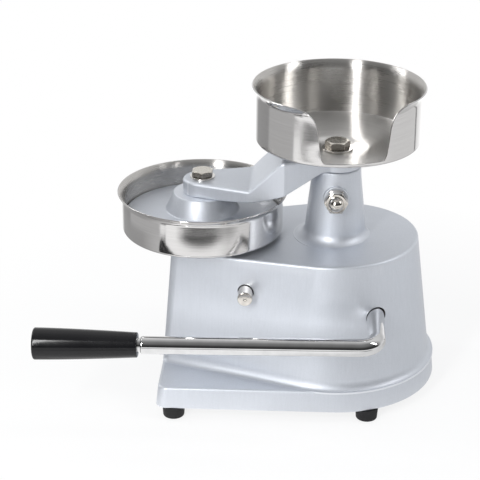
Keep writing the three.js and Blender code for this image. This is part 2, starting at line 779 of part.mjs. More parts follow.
function paperBowl() {
  const floorLine = [
    [boltRadius + fitGap, paperBowlSeat + bowlSheet / 2],
    [paperBowlSeatRadius - paperBowlSeatRise, paperBowlSeat + bowlSheet / 2],
    [paperBowlSeatRadius, paperBowlSeat + paperBowlSeatRise + bowlSheet / 2],
    [paperBowlDishShare * bowlInnerRadius, paperBowlBottom - paperBowlDishDrop],
  ];
  const wall = wallLine(paperBowlBottom, paperBowlRim, paperBowlCorner, paperBowlLipHeight);
  const corner = wall.slice(0, filletSteps + 1);
  const middle = bowlInnerRadius + bowlSheet / 2;
  const sill = paperBowlBottom + paperBowlCorner + cutOutSill;
  const lipFoot = paperBowlRim - paperBowlLipHeight;
  const wallSteps = 3;
  const straight = [];
  for (let i = 0; i < wallSteps; i += 1) {
    straight.push([middle, THREE.MathUtils.lerp(sill, lipFoot, i / wallSteps)]);
  }
  const line = [...floorLine, ...corner, ...straight, ...wall.slice(filletSteps + 1)];
  const sheet = sheetSides(line);
  const sillRow = floorLine.length + corner.length;
  const columns = sillColumns + backColumns + 2 * edgeColumnShares.length - 2;
  const halfAngleAt = (height) => {
    const climb = THREE.MathUtils.clamp((height - sill) / (paperBowlRim - sill), 0, 1);
    const below = Math.max(height - (paperBowlRim - cutOutCorner), 0);
    const rounding = cutOutCorner - Math.sqrt(Math.max(cutOutCorner * cutOutCorner - below * below, 0));
    return radians(cutOutHalfAngle + cutOutSpreadAngle * climb) + rounding / middle;
  };
  const placeOf = (height, j) => {
    const half = halfAngleAt(height);
    const edge = cutOutFlareWidth / middle;
    const last = edgeColumnShares.length - 1;
    if (j < sillColumns) return [-half + 2 * half * j / sillColumns, 0];
    const k = j - sillColumns;
    if (k <= last) return [half + edge * edgeColumnShares[k], edge * edgeColumnShares[k]];
    const fromEnd = columns - j;
    if (fromEnd <= last) return [-half - edge * edgeColumnShares[fromEnd], edge * edgeColumnShares[fromEnd]];
    const back = (k - last) / (columns - sillColumns - 2 * last);
    return [THREE.MathUtils.lerp(half + edge, 2 * halfTurn - half - edge, back), edge];
  };
  const bearing = radians(cutOutBearingAngle) - quarterTurn;
  return pressedBowl(sheet.length, columns, (i, j, side) => {
    const [[radius, height], [nr, nz]] = sheet[i];
    const [angle, distance] = placeOf(height, j);
    const near = 1 - distance * middle / cutOutFlareWidth;
    const climb = THREE.MathUtils.clamp((height - sill) / cutOutFlareWidth, 0, 1);
    const lipShare = (radius - middle) / bowlLip;
    const flare = i >= sillRow ? cutOutFlare * near * near * climb * (1 - lipShare) : 0;
    const reach = radius + flare + nr * side;
    return [reach * Math.cos(angle + bearing), reach * Math.sin(angle + bearing), height + nz * side];
  }, (i, j) => i >= sillRow && j < sillColumns);
}

function bowlScrew() {
  const top = formingBowlBottom + bowlSheet - seatGap;
  const shoulder = top - bowlScrewHeadRadius + bowlScrewRadius;
  const end = top - bowlScrewLength;
  return turned([
    [0, end],
    [bowlScrewRadius, end],
    [bowlScrewRadius, shoulder],
    [bowlScrewHeadRadius, top],
    [0, top],
  ], smallSides);
}

// Hexagon-head bolt standing on its seat, with the shank below
function hexBolt(acrossFlats, headHeight, shankRadius, length, turn) {
  return joined(
    hexPrism(acrossFlats, 0, headHeight, turn),
    rod(shankRadius, -length, headHeight / 2, smallSides),
  );
}

function pressArm() {
  const plan = new THREE.Shape();
  const bossLean = Math.asin((armBendHalfWidth - armBossRadius) / (bowlSpacing + armBendX));
  const hubLean = Math.asin((armCornerHalfWidth - armHubRadius) / -armCornerX);
  const farLean = Math.asin((armBendHalfWidth - armHubRadius) / -armBendX);
  plan.absarc(-bowlSpacing, 0, armBossRadius, quarterTurn + bossLean, -quarterTurn - bossLean + 2 * halfTurn, false);
  plan.lineTo(armBendX, -armBendHalfWidth);
  plan.lineTo(armCornerX, -armCornerHalfWidth);
  plan.absarc(0, 0, armHubRadius, -quarterTurn - hubLean, quarterTurn + farLean, false);
  plan.lineTo(armBendX, armBendHalfWidth);
  plan.closePath();
  const left = -bowlSpacing - armBossRadius - cutOverrun;
  const right = armHubRadius + cutOverrun;
  const side = new THREE.Shape();
  side.moveTo(left, armBossUnderside);
  side.lineTo(armBossRadius - bowlSpacing, armBossUnderside);
  side.lineTo(armBendX, armBossUnderside + armBendRise);
  side.lineTo(armSlopeX, armBossUnderside + armSlopeRise);
  side.lineTo(armCornerX, armBossUnderside + armCornerRise);
  side.lineTo(armRiseX, armHubUnderside);
  side.lineTo(right, armHubUnderside);
  side.lineTo(right, armHubTop);
  side.lineTo(armSlopeTopX, armHubTop);
  side.lineTo(armBendX, armStepHeight);
  side.lineTo(left, armStepHeight);
  side.closePath();
  const outline = solidOf(plateXY(plan, armBossUnderside - cutOverrun, armHubTop + cutOverrun, roundSides));
  const body = outline.intersect(solidOf(plateXZ(side, -bowlSpacing, bowlSpacing)));
  const shoulder = rod(armHubRadius, armHubUnderside, armHubTop, roundSides);
  const hub = solidOf(shoulder).intersect(outline);
  const columnRoom = turned([
    [0, flareTop],
    [columnFootRadius + armColumnGap, flareTop],
    [columnTopRadius + armColumnGap, armHubUnderside],
    [0, armHubUnderside],
  ], fineSides);
  const spigotHole = rod(shaftSpigotRadius + fitGap, 0, columnHeight + shaftRadius * 2, smallSides);
  const boltHole = rod(boltRadius + fitGap, armBossUnderside - cutOverrun, armStepHeight + cutOverrun, smallSides)
    .translate(-bowlSpacing, 0, 0);
  return cut(body.add(hub), columnRoom, spigotHole, boltHole);
}

function pressDisc() {
  const hubTop = armBossUnderside - seatGap;
  const flareX = discHubFootRadius + discHubFlare / 2;
  const flare = arcPoints(flareX, discTop + discHubFlare, discHubFlare, -quarterTurn, -halfTurn, filletSteps);
  const chamfer = discRadius - bowlSheet;
  return turnedRing([
    [boltRadius + fitGap, discBottom + discWasherRadius],
    [boltRadius + fitGap, hubTop],
    [discHubTopRadius, hubTop],
    ...flare.reverse(),
    [chamfer, discEdgeTop],
    [discRadius, discEdgeTop - bowlSheet],
    [discRadius, discBottom + bowlSheet],
    [chamfer, discBottom],
    [0, discBottom],
    [0, discBottom + discWasherRadius],
  ].reverse(), fineSides);
}

function pressShaft() {
  const spigotBottom = spoolBottom + seatGap;
  const shoulder = spoolTop + seatGap;
  const upperShoulder = columnHeight;
  const shaft = turned([
    [0, spigotBottom],
    [spoolBoreRadius, spigotBottom],
    [spoolBoreRadius, shoulder],
    [shaftRadius, shoulder],
    [shaftRadius, upperShoulder],
    [shaftSpigotRadius, upperShoulder],
    [shaftSpigotRadius, shaftTop],
    [0, shaftTop],
  ], roundSides);
  const slotHalf = guideTipRadius + fitGap + seatGap;
  const slotTop = guideHeight + slotHalf;
  const slotBottom = guideHeight - pressTravel - slotHalf;
  const slotFloor = shaftRadius - guideSlotDepth;
  const slot = new THREE.BoxGeometry(2 * slotHalf, shaftRadius, slotTop - slotBottom)
    .translate(0, -slotFloor - shaftRadius / 2, (slotTop + slotBottom) / 2);
  const turnRing = tube(slotFloor, shaftRadius + cutOverrun, slotBottom, slotBottom + 2 * slotHalf, roundSides);
  const quarter = new THREE.BoxGeometry(2 * shaftRadius, 2 * shaftRadius, pressTravel)
    .translate(shaftRadius, -shaftRadius, slotBottom);
  const turnSlot = solidOf(turnRing).intersect(solidOf(quarter));
  const boltHole = rod(boltRadius + fitGap, shaftTop - paperBoltLength, shaftTop + cutOverrun, smallSides);
  const endHole = rod(spoolBoltRadius + fitGap, spigotBottom - cutOverrun, spigotBottom + spoolBoltLength, smallSides);
  return cut(solidOf(shaft), slot, boltHole, endHole).subtract(turnSlot);
}

function thrustSpool() {
  const bore = spoolBoreRadius + fitGap;
  return turnedRing([
    [bore, spoolBottom],
    [spoolFlangeRadius, spoolBottom],
    [spoolFlangeRadius, spoolBottom + spoolFlange],
    [spoolCoreRadius, spoolBottom + spoolFlange],
    [spoolCoreRadius, spoolTop - spoolFlange],
    [spoolFlangeRadius, spoolTop - spoolFlange],
    [spoolFlangeRadius, spoolTop],
    [bore, spoolTop],
  ], roundSides);
}

function columnBush(bottom, length) {
  return tube(shaftRadius + fitGap, shaftBoreRadius - seatGap, bottom, bottom + length, roundSides);
}

function guideScrew() {
  const tipReach = shaftRadius - guideSlotDepth + fitGap;
  const tipShoulder = tipReach + guideTipLength;
  const headReach = guidePadReach + jamNutHeight + acornHexHeight;
  return towardsFront(turned([
    [0, tipReach],
    [guideTipRadius, tipReach],
    [guideTipRadius, tipShoulder],
    [guideScrewRadius, tipShoulder],
    [guideScrewRadius, headReach],
    [0, headReach],
  ], smallSides));
}

function jamNut() {
  const bottom = guidePadReach + seatGap;
  const nut = hexPrism(jamNutAcrossFlats, bottom, bottom + jamNutHeight, 0);
  const bore = rod(guideScrewRadius + seatGap, 0, bottom + jamNutHeight + cutOverrun, smallSides);
  return cut(solidOf(nut), bore).rotate([90, 0, 0]);
}

function acornNut() {
  const bottom = guidePadReach + jamNutHeight + 2 * seatGap;
  const hexTop = bottom + acornHexHeight;
  const dome = arcPoints(0, hexTop + acornSkirt, acornDomeRadius, 0, quarterTurn, filletSteps + 1);
  const cap = turned([[0, bottom], [acornDomeRadius, bottom], ...dome], smallSides);
  const bore = rod(guideScrewRadius + seatGap, 0, hexTop + seatGap, smallSides);
  const hex = hexPrism(acornAcrossFlats, bottom, hexTop, quarterTurn / 3);
  return cut(joined(hex, cap), bore).rotate([90, 0, 0]);
}

// The lever bar: straight from its rear bearing to the bend, then sideways to the grip
function leverBar() {
  const rings = [];
  const ringOn = (centre, across) => {
    const points = [];
    for (let i = 0; i < smallSides; i += 1) {
      const angle = 2 * halfTurn * i / smallSides;
      const out = across.clone().multiplyScalar(barRadius * Math.cos(angle));
      points.push(centre.clone().add(out).add(new THREE.Vector3(0, 0, barRadius * Math.sin(angle))));
    }
    rings.push(points);
  };
  ringOn(new THREE.Vector3(0, leverShaftEnd, 0), new THREE.Vector3(1, 0, 0));
  for (let i = 0; i <= barBendSteps; i += 1) {
    const angle = quarterTurn * i / barBendSteps;
    const centre = new THREE.Vector3(
      barBend * (Math.cos(angle) - 1),
      barBend * (1 - Math.sin(angle)) - barStandoff,
      0,
    );
    ringOn(centre, new THREE.Vector3(Math.cos(angle), -Math.sin(angle), 0));
  }
  ringOn(new THREE.Vector3(-gripStart - gripSocketDepth, -barStandoff, 0), new THREE.Vector3(0, -1, 0));
  return loft(rings);
}

function grip() {
  const neckEnd = gripNeckLength;
  const inner = arcPoints(gripInnerRadius - gripEdge / 2, neckEnd + gripEdge / 2, gripEdge / 2, -quarterTurn, 0, filletSteps);
  const outer = arcPoints(gripOuterRadius - gripEdge, gripLength - gripEdge, gripEdge, 0, quarterTurn, filletSteps);
  const socket = barRadius + seatGap;
  const profile = [
    [0, gripSocketDepth + seatGap],
    [socket, gripSocketDepth + seatGap],
    [socket, 0],
    [gripNeckRadius, 0],
    [gripNeckRadius, neckEnd],
    ...inner,
    ...outer,
    [0, gripLength],
  ];
  return turned(profile, roundSides).rotateY(-quarterTurn).translate(-gripStart, -barStandoff, 0);
}

function leverBush() {
  return alongY(tube(barRadius + fitGap, leverBoreRadius - seatGap, 0, leverBushLength - seatGap, roundSides));
}

// Flat arm with round ends: a hub at the axis and an eye out along -X
function armPlate(length, hubRadius, endRadius, front, back) {
  const lean = Math.asin((hubRadius - endRadius) / length);
  const shape = new THREE.Shape();
  shape.absarc(0, 0, hubRadius, -quarterTurn - lean, quarterTurn + lean, false);
  shape.absarc(-length, 0, endRadius, quarterTurn + lean, 2 * halfTurn - quarterTurn - lean, false);
  shape.closePath();
  return plateXZ(shape, front, back);
}

const crossHole = (radius, front, back, x) => alongY(rod(radius, front, back, smallSides)).translate(x, 0, 0);
const shaftBore = (radius, front, back) => alongY(rod(radius + seatGap, front, back, roundSides));

function crank() {
  const outer = crankArmInner + crankArmWidth;
  const arms = [[-outer, -crankArmInner], [crankArmInner, outer]].map(([front, back]) => {
    return armPlate(crankRadius, crankHubRadius, crankEndRadius, front, back);
  });
  const hub = alongY(rod(crankHubRadius, -outer, outer, roundSides));
  const lock = rod(setScrewRadius + seatGap, 0, crankHubRadius + cutOverrun, smallSides).rotateY(quarterTurn);
  return cut(
    joined(hub, ...arms),
    shaftBore(barRadius, -outer - cutOverrun, outer + cutOverrun),
    crossHole(forkPinRadius + seatGap, -outer - cutOverrun, outer + cutOverrun, -crankRadius),
    lock,
  );
}

function forkPin() {
  return crossHole(forkPinRadius, spoolCoreRadius + forkPinPlay, crankArmInner + crankArmWidth, -crankRadius);
}

// Set screw lying along +X from the shaft's surface outwards
const setScrew = (start) => rod(setScrewRadius, start, start + setScrewLength, smallSides).rotateY(quarterTurn);

function linkArm(hubRadius, boreRadius) {
  const back = linkPlane + linkArmWidth;
  const arm = armPlate(linkRadius, hubRadius, linkEndRadius, linkPlane, back);
  return cut(
    solidOf(arm),
    shaftBore(boreRadius, linkPlane - cutOverrun, back + cutOverrun),
    crossHole(linkPinRadius + seatGap, linkPlane - cutOverrun, back + cutOverrun, -linkRadius),
  );
}

// Headed pin that holds the link rod on an arm's eye
function linkPin() {
  const rodBack = linkPlane + linkArmWidth + fitGap + linkRodWidth;
  const head = alongY(rod(linkPinHeadRadius, rodBack + seatGap, rodBack + seatGap + linkPinHead, smallSides));
  return joined(crossHole(linkPinRadius, linkPlane, rodBack + linkPinHead, 0), head);
}

function linkRod() {
  const length = Math.hypot(leverX - liftX, leverZ - liftZ);
  const front = linkPlane + linkArmWidth + fitGap;
  const back = front + linkRodWidth;
  const bar = new THREE.BoxGeometry(length, linkRodWidth, 2 * linkRodHalfHeight)
    .translate(length / 2, (front + back) / 2, 0);
  const eyes = [0, length].map((x) => alongY(rod(linkRodEye, front, back, smallSides)).translate(x, 0, 0));
  const holes = [0, length].map((x) => crossHole(linkPinRadius + seatGap, front - cutOverrun, back + cutOverrun, x));
  return cut(joined(bar, ...eyes), ...holes);
}

function setCollar(shaft, radius, width, outer) {
  const ring = alongY(tube(shaft + seatGap, radius, -outer, width - outer, roundSides));
  const hole = rod(setScrewRadius + seatGap, 0, radius + cutOverrun, smallSides).rotateY(quarterTurn)
    .translate(0, width / 2 - outer, 0);
  return cut(solidOf(ring), hole);
}

function liftShaft() {
  const nose = liftShaftRadius - liftShaftEdge;
  return alongY(turned([
    [0, -liftShaftFront],
    [nose, -liftShaftFront],
    [liftShaftRadius, liftShaftEdge - liftShaftFront],
    [liftShaftRadius, liftShaftRear],
    [0, liftShaftRear],
  ], roundSides));
}

function liftFinger() {
  const half = liftHubWidth / 2;
  const hub = alongY(rod(liftHubRadius, -half, half, roundSides));
  const web = new THREE.BoxGeometry(fingerRadius, fingerWidth, 2 * fingerHalfDepth).translate(-fingerRadius / 2, 0, 0);
  const nose = crossHole(fingerNose, -fingerWidth / 2, fingerWidth / 2, -fingerRadius);
  return cut(joined(hub, web, nose), shaftBore(liftShaftRadius, -half - cutOverrun, half + cutOverrun));
}

function lifterFoot() {
  const plate = new THREE.BoxGeometry(lifterFootBack + lifterFootFront, 2 * lifterFootHalfWidth, lifterFootThickness)
    .translate((lifterFootFront - lifterFootBack) / 2, 0, lifterFootBottom + lifterFootThickness / 2);
  return cut(solidOf(plate), rod(lifterSpigotRadius + seatGap, 0, formingBowlBottom, smallSides));
}

function lifterRod() {
  const nutBottom = lifterFootBottom - seatGap - lifterNutHeight;
  const plateShoulder = lifterPlateBottom - seatGap;
  const spigotTop = lifterPlateBottom + lifterPlateThickness - lifterPlateEdge - 2 * seatGap;
  return turned([
    [0, nutBottom],
    [lifterSpigotRadius, nutBottom],
    [lifterSpigotRadius, lifterFootTop + seatGap],
    [lifterRodRadius, lifterFootTop + seatGap],
    [lifterRodRadius, plateShoulder],
    [lifterSpigotRadius, plateShoulder],
    [lifterSpigotRadius, spigotTop],
    [0, spigotTop],
  ], smallSides);
}

function lifterNut() {
  const top = lifterFootBottom - seatGap;
  const nut = hexPrism(lifterNutAcrossFlats, top - lifterNutHeight, top, 0);
  return cut(solidOf(nut), rod(lifterSpigotRadius + seatGap, 0, top + cutOverrun, smallSides));
}

function lifterPlate() {
  const top = lifterPlateBottom + lifterPlateThickness;
  const socketTop = top - lifterPlateEdge;
  const socket = lifterSpigotRadius + seatGap;
  return turned([
    [0, socketTop],
    [socket, socketTop],
    [socket, lifterPlateBottom],
    [lifterPlateRadius - formingBowlCorner, lifterPlateBottom],
    [lifterPlateRadius, lifterPlateBottom + lifterPlateThickness / 2],
    [lifterPlateRadius, top - lifterPlateEdge],
    [lifterPlateRadius - lifterPlateEdge, top],
    [0, top],
  ], fineSides);
}

function lifterBush() {
  const radius = lifterRodRadius + fitGap + lifterBushWall;
  return tube(lifterRodRadius + fitGap, radius, lifterBossEnd, formingBowlBottom - fitGap, roundSides);
}

// One named mesh for each piece, placed by its group and its own position
function addPiece(group, name, shape, material, place = [0, 0, 0]) {
  const geometry = shape.isBufferGeometry ? shape : geometryOf(shape);
  const mesh = new THREE.Mesh(geometry, material);
  mesh.name = name;
  mesh.position.set(...place);
  group.add(mesh);
}

function groupAt(parent, x, y, z, turnY = 0) {
  const group = new THREE.Group();
  group.position.set(x, y, z);
  group.rotation.y = turnY;
  parent.add(group);
  return group;
}

function addBase(part) {
  const base = groupAt(part, 0, 0, 0);
  addPiece(base, 'housing', housing(), silverPaint);
  addPiece(base, 'base_cover', baseCover(), steel);
  for (const [place, x, y] of coverScrewPlaces) {
    const seat = coverBottom - coverScrewHeadHeight - seatGap;
    addPiece(base, `cover_screw_${place}`, coverScrew(), nickel, [x, y, seat]);
  }
  for (const [place, x, y] of footPlaces) {
    addPiece(base, `rubber_foot_${place}`, rubberFoot(), blackRubber, [x, y, 0]);
    addPiece(base, `foot_screw_${place}`, footScrew(), nickel, [x, y, footEdge + seatGap]);
  }
  addPiece(base, 'forming_bowl', formingBowl(), stainless, [-bowlSpacing, 0, 0]);
  screwCircle.forEach(([x, y], i) => addPiece(base, `bowl_screw_${i + 1}`, bowlScrew(), nickel, [x, y, 0]));
  addPiece(base, 'lifter_bush', lifterBush(), bronze, [-bowlSpacing, 0, 0]);
  addPiece(base, 'column_bush_upper', columnBush(columnHeight - upperBushLength - seatGap, upperBushLength), bronze);
  addPiece(base, 'column_bush_lower', columnBush(columnBossEnd, lowerBushLength), bronze);
  addPiece(base, 'guide_screw', guideScrew(), nickel, [0, 0, guideHeight]);
  addPiece(base, 'guide_jam_nut', jamNut(), nickel, [0, 0, guideHeight]);
  addPiece(base, 'guide_acorn_nut', acornNut(), chrome, [0, 0, guideHeight]);
  const frontBushY = seatGap - leverBossInner - leverBushLength;
  addPiece(base, 'lever_bush_front', leverBush(), bronze, [leverX, frontBushY, leverZ]);
  addPiece(base, 'lever_bush_rear', leverBush(), bronze, [leverX, leverBossInner, leverZ]);
}

function addLever(part) {
  const lever = groupAt(part, leverX, 0, leverZ, -radians(barDroopAngle));
  addPiece(lever, 'lever_bar', leverBar(), chrome);
  addPiece(lever, 'lever_grip', grip(), blackPlastic);
  const crankSide = groupAt(part, leverX, 0, leverZ, -halfSwing);
  addPiece(crankSide, 'crank', crank(), steel);
  addPiece(crankSide, 'fork_pin_rear', forkPin(), nickel);
  addPiece(crankSide, 'fork_pin_front', forkPin().rotateX(halfTurn), nickel);
  addPiece(crankSide, 'crank_set_screw', setScrew(barRadius + fitGap), nickel);
  const linkSide = groupAt(part, leverX, 0, leverZ, -halfSwing - quarterTurn);
  addPiece(linkSide, 'lever_link_arm', linkArm(crankHubRadius, barRadius), steel);
  addPiece(linkSide, 'lever_link_pin', linkPin(), nickel, [-linkRadius, 0, 0]);
  addPiece(linkSide, 'lever_collar', setCollar(barRadius, collarRadius, collarWidth, collarOuter), steel);
  const screwY = collarWidth / 2 - collarOuter;
  addPiece(linkSide, 'lever_collar_screw', setScrew(barRadius + fitGap), nickel, [0, screwY, 0]);
}

function addLift(part) {
  const shaft = groupAt(part, liftX, 0, liftZ, -halfSwing);
  addPiece(shaft, 'lift_shaft', liftShaft(), nickel);
  addPiece(shaft, 'lift_finger', liftFinger(), steel);
  addPiece(shaft, 'lift_collar', setCollar(liftShaftRadius, liftCollarRadius, liftCollarWidth, liftCollarOuter), steel);
  const linkSide = groupAt(part, liftX, 0, liftZ, -halfSwing - quarterTurn);
  addPiece(linkSide, 'lift_link_arm', linkArm(liftHubRadius, liftShaftRadius), steel);
  addPiece(linkSide, 'lift_link_pin', linkPin(), nickel, [-linkRadius, 0, 0]);
  const pinX = liftX + linkRadius * Math.sin(halfSwing);
  const pinZ = liftZ - linkRadius * Math.cos(halfSwing);
  const link = groupAt(part, pinX, 0, pinZ, Math.atan2(liftZ - leverZ, leverX - liftX));
  addPiece(link, 'link_rod', linkRod(), steel);
  const lifter = groupAt(part, -bowlSpacing, 0, 0);
  addPiece(lifter, 'lifter_foot', lifterFoot(), steel);
  addPiece(lifter, 'lifter_nut', lifterNut(), nickel);
  addPiece(lifter, 'lifter_rod', lifterRod(), steel);
  addPiece(lifter, 'lifter_plate', lifterPlate(), stainless);
}

function addPress(part) {
  const press = groupAt(part, 0, 0, 0);
  addPiece(press, 'press_shaft', pressShaft(), steel);
  addPiece(press, 'thrust_spool', thrustSpool(), bronze);
  const washerBottom = spoolBottom - seatGap - spoolWasherThickness;
  const spoolWasher = tube(spoolBoltRadius + fitGap, spoolWasherRadius, washerBottom, spoolBottom - seatGap, roundSides);
  addPiece(press, 'spool_washer', spoolWasher, nickel);
  const spoolBolt = hexBolt(spoolBoltAcrossFlats, spoolBoltHead, spoolBoltRadius, spoolBoltLength, 0).rotate([180, 0, 0]);
  addPiece(press, 'spool_bolt', spoolBolt, nickel, [0, 0, washerBottom - seatGap]);
  addPiece(press, 'press_arm', pressArm(), silverPaint);
  addPiece(press, 'press_disc', pressDisc(), silverPaint, [-bowlSpacing, 0, 0]);
  const discWasherTop = armStepHeight + seatGap + discWasherThickness;
  const discWasher = tube(boltRadius + fitGap, discWasherRadius, armStepHeight + seatGap, discWasherTop, roundSides);
  addPiece(press, 'disc_washer', discWasher, nickel, [-bowlSpacing, 0, 0]);
  const discBolt = hexBolt(discBoltAcrossFlats, discBoltHead, boltRadius, discBoltLength, 0);
  addPiece(press, 'disc_bolt', discBolt, nickel, [-bowlSpacing, 0, discWasherTop + seatGap]);
  addPiece(press, 'paper_bowl', paperBowl(), stainless);
  const floorTop = paperBowlSeat + bowlSheet;
  const paperWasherTop = floorTop + seatGap + paperWasherThickness;
  const paperWasher = tube(boltRadius + fitGap, paperWasherRadius, floorTop + seatGap, paperWasherTop, roundSides);
  addPiece(press, 'paper_bowl_washer', paperWasher, nickel);
  const paperBolt = hexBolt(paperBoltAcrossFlats, paperBoltHead, boltRadius, paperBoltLength, quarterTurn / 3);
  addPiece(press, 'paper_bowl_bolt', paperBolt, nickel, [0, 0, paperWasherTop + seatGap]);
}

const press = new THREE.Group();
addBase(press);
addLever(press);
addLift(press);
addPress(press);

// The origin lies under the middle of the whole object, on the surface it stands on.
press.updateMatrixWorld(true);
const extent = new THREE.Box3().setFromObject(press, true);
const middle = extent.getCenter(new THREE.Vector3());
press.position.set(-middle.x, -middle.y, -extent.min.z);

export default press;
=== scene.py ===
"""Hand burger press: fine surfaces, materials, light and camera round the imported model."""
import json
import math

import bmesh
import bpy
from mathutils import Matrix, Vector


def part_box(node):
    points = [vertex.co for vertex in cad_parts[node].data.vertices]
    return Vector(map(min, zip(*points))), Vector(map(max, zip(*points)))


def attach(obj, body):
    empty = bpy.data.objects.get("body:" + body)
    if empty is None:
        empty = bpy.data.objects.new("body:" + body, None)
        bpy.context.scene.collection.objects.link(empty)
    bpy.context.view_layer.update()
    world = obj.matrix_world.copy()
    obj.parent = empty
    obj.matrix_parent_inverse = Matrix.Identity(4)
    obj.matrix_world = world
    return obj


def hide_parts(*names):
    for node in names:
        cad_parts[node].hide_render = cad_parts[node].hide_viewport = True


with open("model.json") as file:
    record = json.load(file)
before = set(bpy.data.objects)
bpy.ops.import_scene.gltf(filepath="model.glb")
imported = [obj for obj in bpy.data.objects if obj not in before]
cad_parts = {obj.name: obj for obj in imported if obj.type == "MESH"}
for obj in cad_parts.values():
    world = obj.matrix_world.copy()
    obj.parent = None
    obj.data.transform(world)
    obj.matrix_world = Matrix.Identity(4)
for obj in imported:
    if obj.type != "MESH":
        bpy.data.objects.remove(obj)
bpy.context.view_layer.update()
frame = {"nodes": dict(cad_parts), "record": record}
MM = 0.001

# Every size below is in millimetres, from the point where the column's axis meets the table.
shaft_low, shaft_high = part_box("press_shaft")
AXIS_X = (shaft_low.x + shaft_high.x) / 2
AXIS_Y = (shaft_low.y + shaft_high.y) / 2

ON_COLUMN = (0, 0, 0)
BOWL_X = -109.1
ON_BOWL = (BOWL_X, 0, 0)
TINY = 1e-6


def to_frame(point):
    x, y, z = point
    return (AXIS_X + x * MM, AXIS_Y + y * MM, z * MM)


# ---------------------------------------------------------------- mesh building

MERGE_WITHIN = 0.002
# Above 50, shading normals follow the larger faces.
FACE_WEIGHT = 80


def mesh_object(name, points, faces):
    mesh = bpy.data.meshes.new(name)
    mesh.from_pydata([to_frame(p) for p in points], [], faces)
    obj = bpy.data.objects.new(name, mesh)
    bpy.context.scene.collection.objects.link(obj)
    build = bmesh.new()
    build.from_mesh(mesh)
    bmesh.ops.remove_doubles(build, verts=build.verts, dist=MERGE_WITHIN * MM)
    bmesh.ops.recalc_face_normals(build, faces=build.faces)
    build.to_mesh(mesh)
    build.free()
    return obj


def arc(cx, cy, radius, start, end, steps):
    """Points on a circle from one angle to another, in degrees."""
    out = []
    for i in range(steps + 1):
        a = math.radians(start + (end - start) * i / steps)
        out.append((cx + radius * math.cos(a), cy + radius * math.sin(a)))
    return out


def quarter(steps):
    """Sine and cosine at even steps through a right angle."""
    for i in range(steps + 1):
        a = math.pi / 2 * i / steps
        yield math.sin(a), math.cos(a)


def turned(name, profile, sides=96, at=ON_COLUMN, axis="Z", closed=False):
    """Revolves (radius, height) pairs. Points on the axis close the ends."""
    points, rows = [], []
    for radius, height in profile:
        if radius < TINY:
            rows.append([len(points)])
            points.append((0, 0, height))
            continue
        rows.append([len(points) + i for i in range(sides)])
        for i in range(sides):
            a = 2 * math.pi * i / sides
            points.append((radius * math.cos(a), radius * math.sin(a), height))
    faces = []
    for low, high in zip(rows, rows[1:] + ([rows[0]] if closed else [])):
        for i in range(sides):
            j = (i + 1) % sides
            if len(low) == 1 and len(high) == 1:
                continue
            if len(low) == 1:
                faces.append((low[0], high[j], high[i]))
            elif len(high) == 1:
                faces.append((low[i], low[j], high[0]))
            else:
                faces.append((low[i], low[j], high[j], high[i]))
    turn = {"Z": lambda p: p, "-Y": lambda p: (p[0], -p[2], p[1]),
            "-X": lambda p: (-p[2], p[1], p[0])}[axis]
    placed = []
    for p in points:
        x, y, z = turn(p)
        placed.append((x + at[0], y + at[1], z + at[2]))
    return mesh_object(name, placed, faces)


def rod(name, radius, low, high, sides=48, at=ON_COLUMN, axis="Z"):
    return turned(name, [(0, low), (radius, low), (radius, high), (0, high)], sides, at, axis)


def band_faces(rows, count):
    """Quads between rings of equal point counts, numbered ring by ring."""
    faces = []
    for r in range(rows - 1):
        for i in range(count):
            a, b = r * count + i, r * count + (i + 1) % count
            faces.append((a, b, b + count, a + count))
    return faces


def skin(name, rings):
    """Joins rings of equal point counts into one skin with flat ends."""
    count = len(rings[0])
    last = (len(rings) - 1) * count
    ends = [tuple(reversed(range(count))), tuple(last + i for i in range(count))]
    return mesh_object(name, [p for ring in rings for p in ring],
                       band_faces(len(rings), count) + ends)


def prism(name, outline, low, high):
    return skin(name, [[(x, y, z) for x, y in outline] for z in (low, high)])


def apply_modifiers(obj):
    graph = bpy.context.evaluated_depsgraph_get()
    done = bpy.data.meshes.new_from_object(obj.evaluated_get(graph))
    obj.modifiers.clear()
    old = obj.data
    obj.data = done
    bpy.data.meshes.remove(old)


def combine(obj, other, how):
    """Joins another mesh to a piece, cuts it out or keeps what both share, and uses it up."""
    tool = obj.modifiers.new("combine", "BOOLEAN")
    tool.operation = how
    tool.object = other
    tool.solver = "EXACT"
    apply_modifiers(obj)
    bpy.data.objects.remove(other)


def smooth(obj, angle, weighted):
    obj.data.shade_smooth()
    obj.data.set_sharp_from_angle(angle=math.radians(angle))
    if weighted:
        tool = obj.modifiers.new("weighted", "WEIGHTED_NORMAL")
        tool.keep_sharp = True
        tool.weight = FACE_WEIGHT
        apply_modifiers(obj)


def bevel(obj, width, segments, angle):
    tool = obj.modifiers.new("bevel", "BEVEL")
    tool.width = width * MM
    tool.segments = segments
    tool.limit_method = "ANGLE"
    tool.angle_limit = math.radians(angle)
    tool.use_clamp_overlap = True
    apply_modifiers(obj)


def piece(obj, body, materials, nodes, angle=32, weighted=False):
    """Shades a finished piece, gives it its materials, ties it to its body and hides the CAD nodes
    it stands in for.
    """
    smooth(obj, angle, weighted)
    for material in materials if isinstance(materials, list) else [materials]:
        obj.data.materials.append(material)
    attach(obj, body)
    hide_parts(*nodes)


# ---------------------------------------------------------------- shader nodes

def new_material(name):
    material = bpy.data.materials.new(name)
    material.use_nodes = True
    tree = material.node_tree
    coords = tree.nodes.new("ShaderNodeTexCoord")
    return material, tree, tree.nodes["Principled BSDF"], coords.outputs["Object"]


def scaled(tree, coords, size):
    node = tree.nodes.new("ShaderNodeMapping")
    node.inputs["Scale"].default_value = size
    tree.links.new(coords, node.inputs["Vector"])
    return node.outputs["Vector"]


def split_xyz(tree, vector):
    node = tree.nodes.new("ShaderNodeSeparateXYZ")
    tree.links.new(vector, node.inputs[0])
    return node.outputs


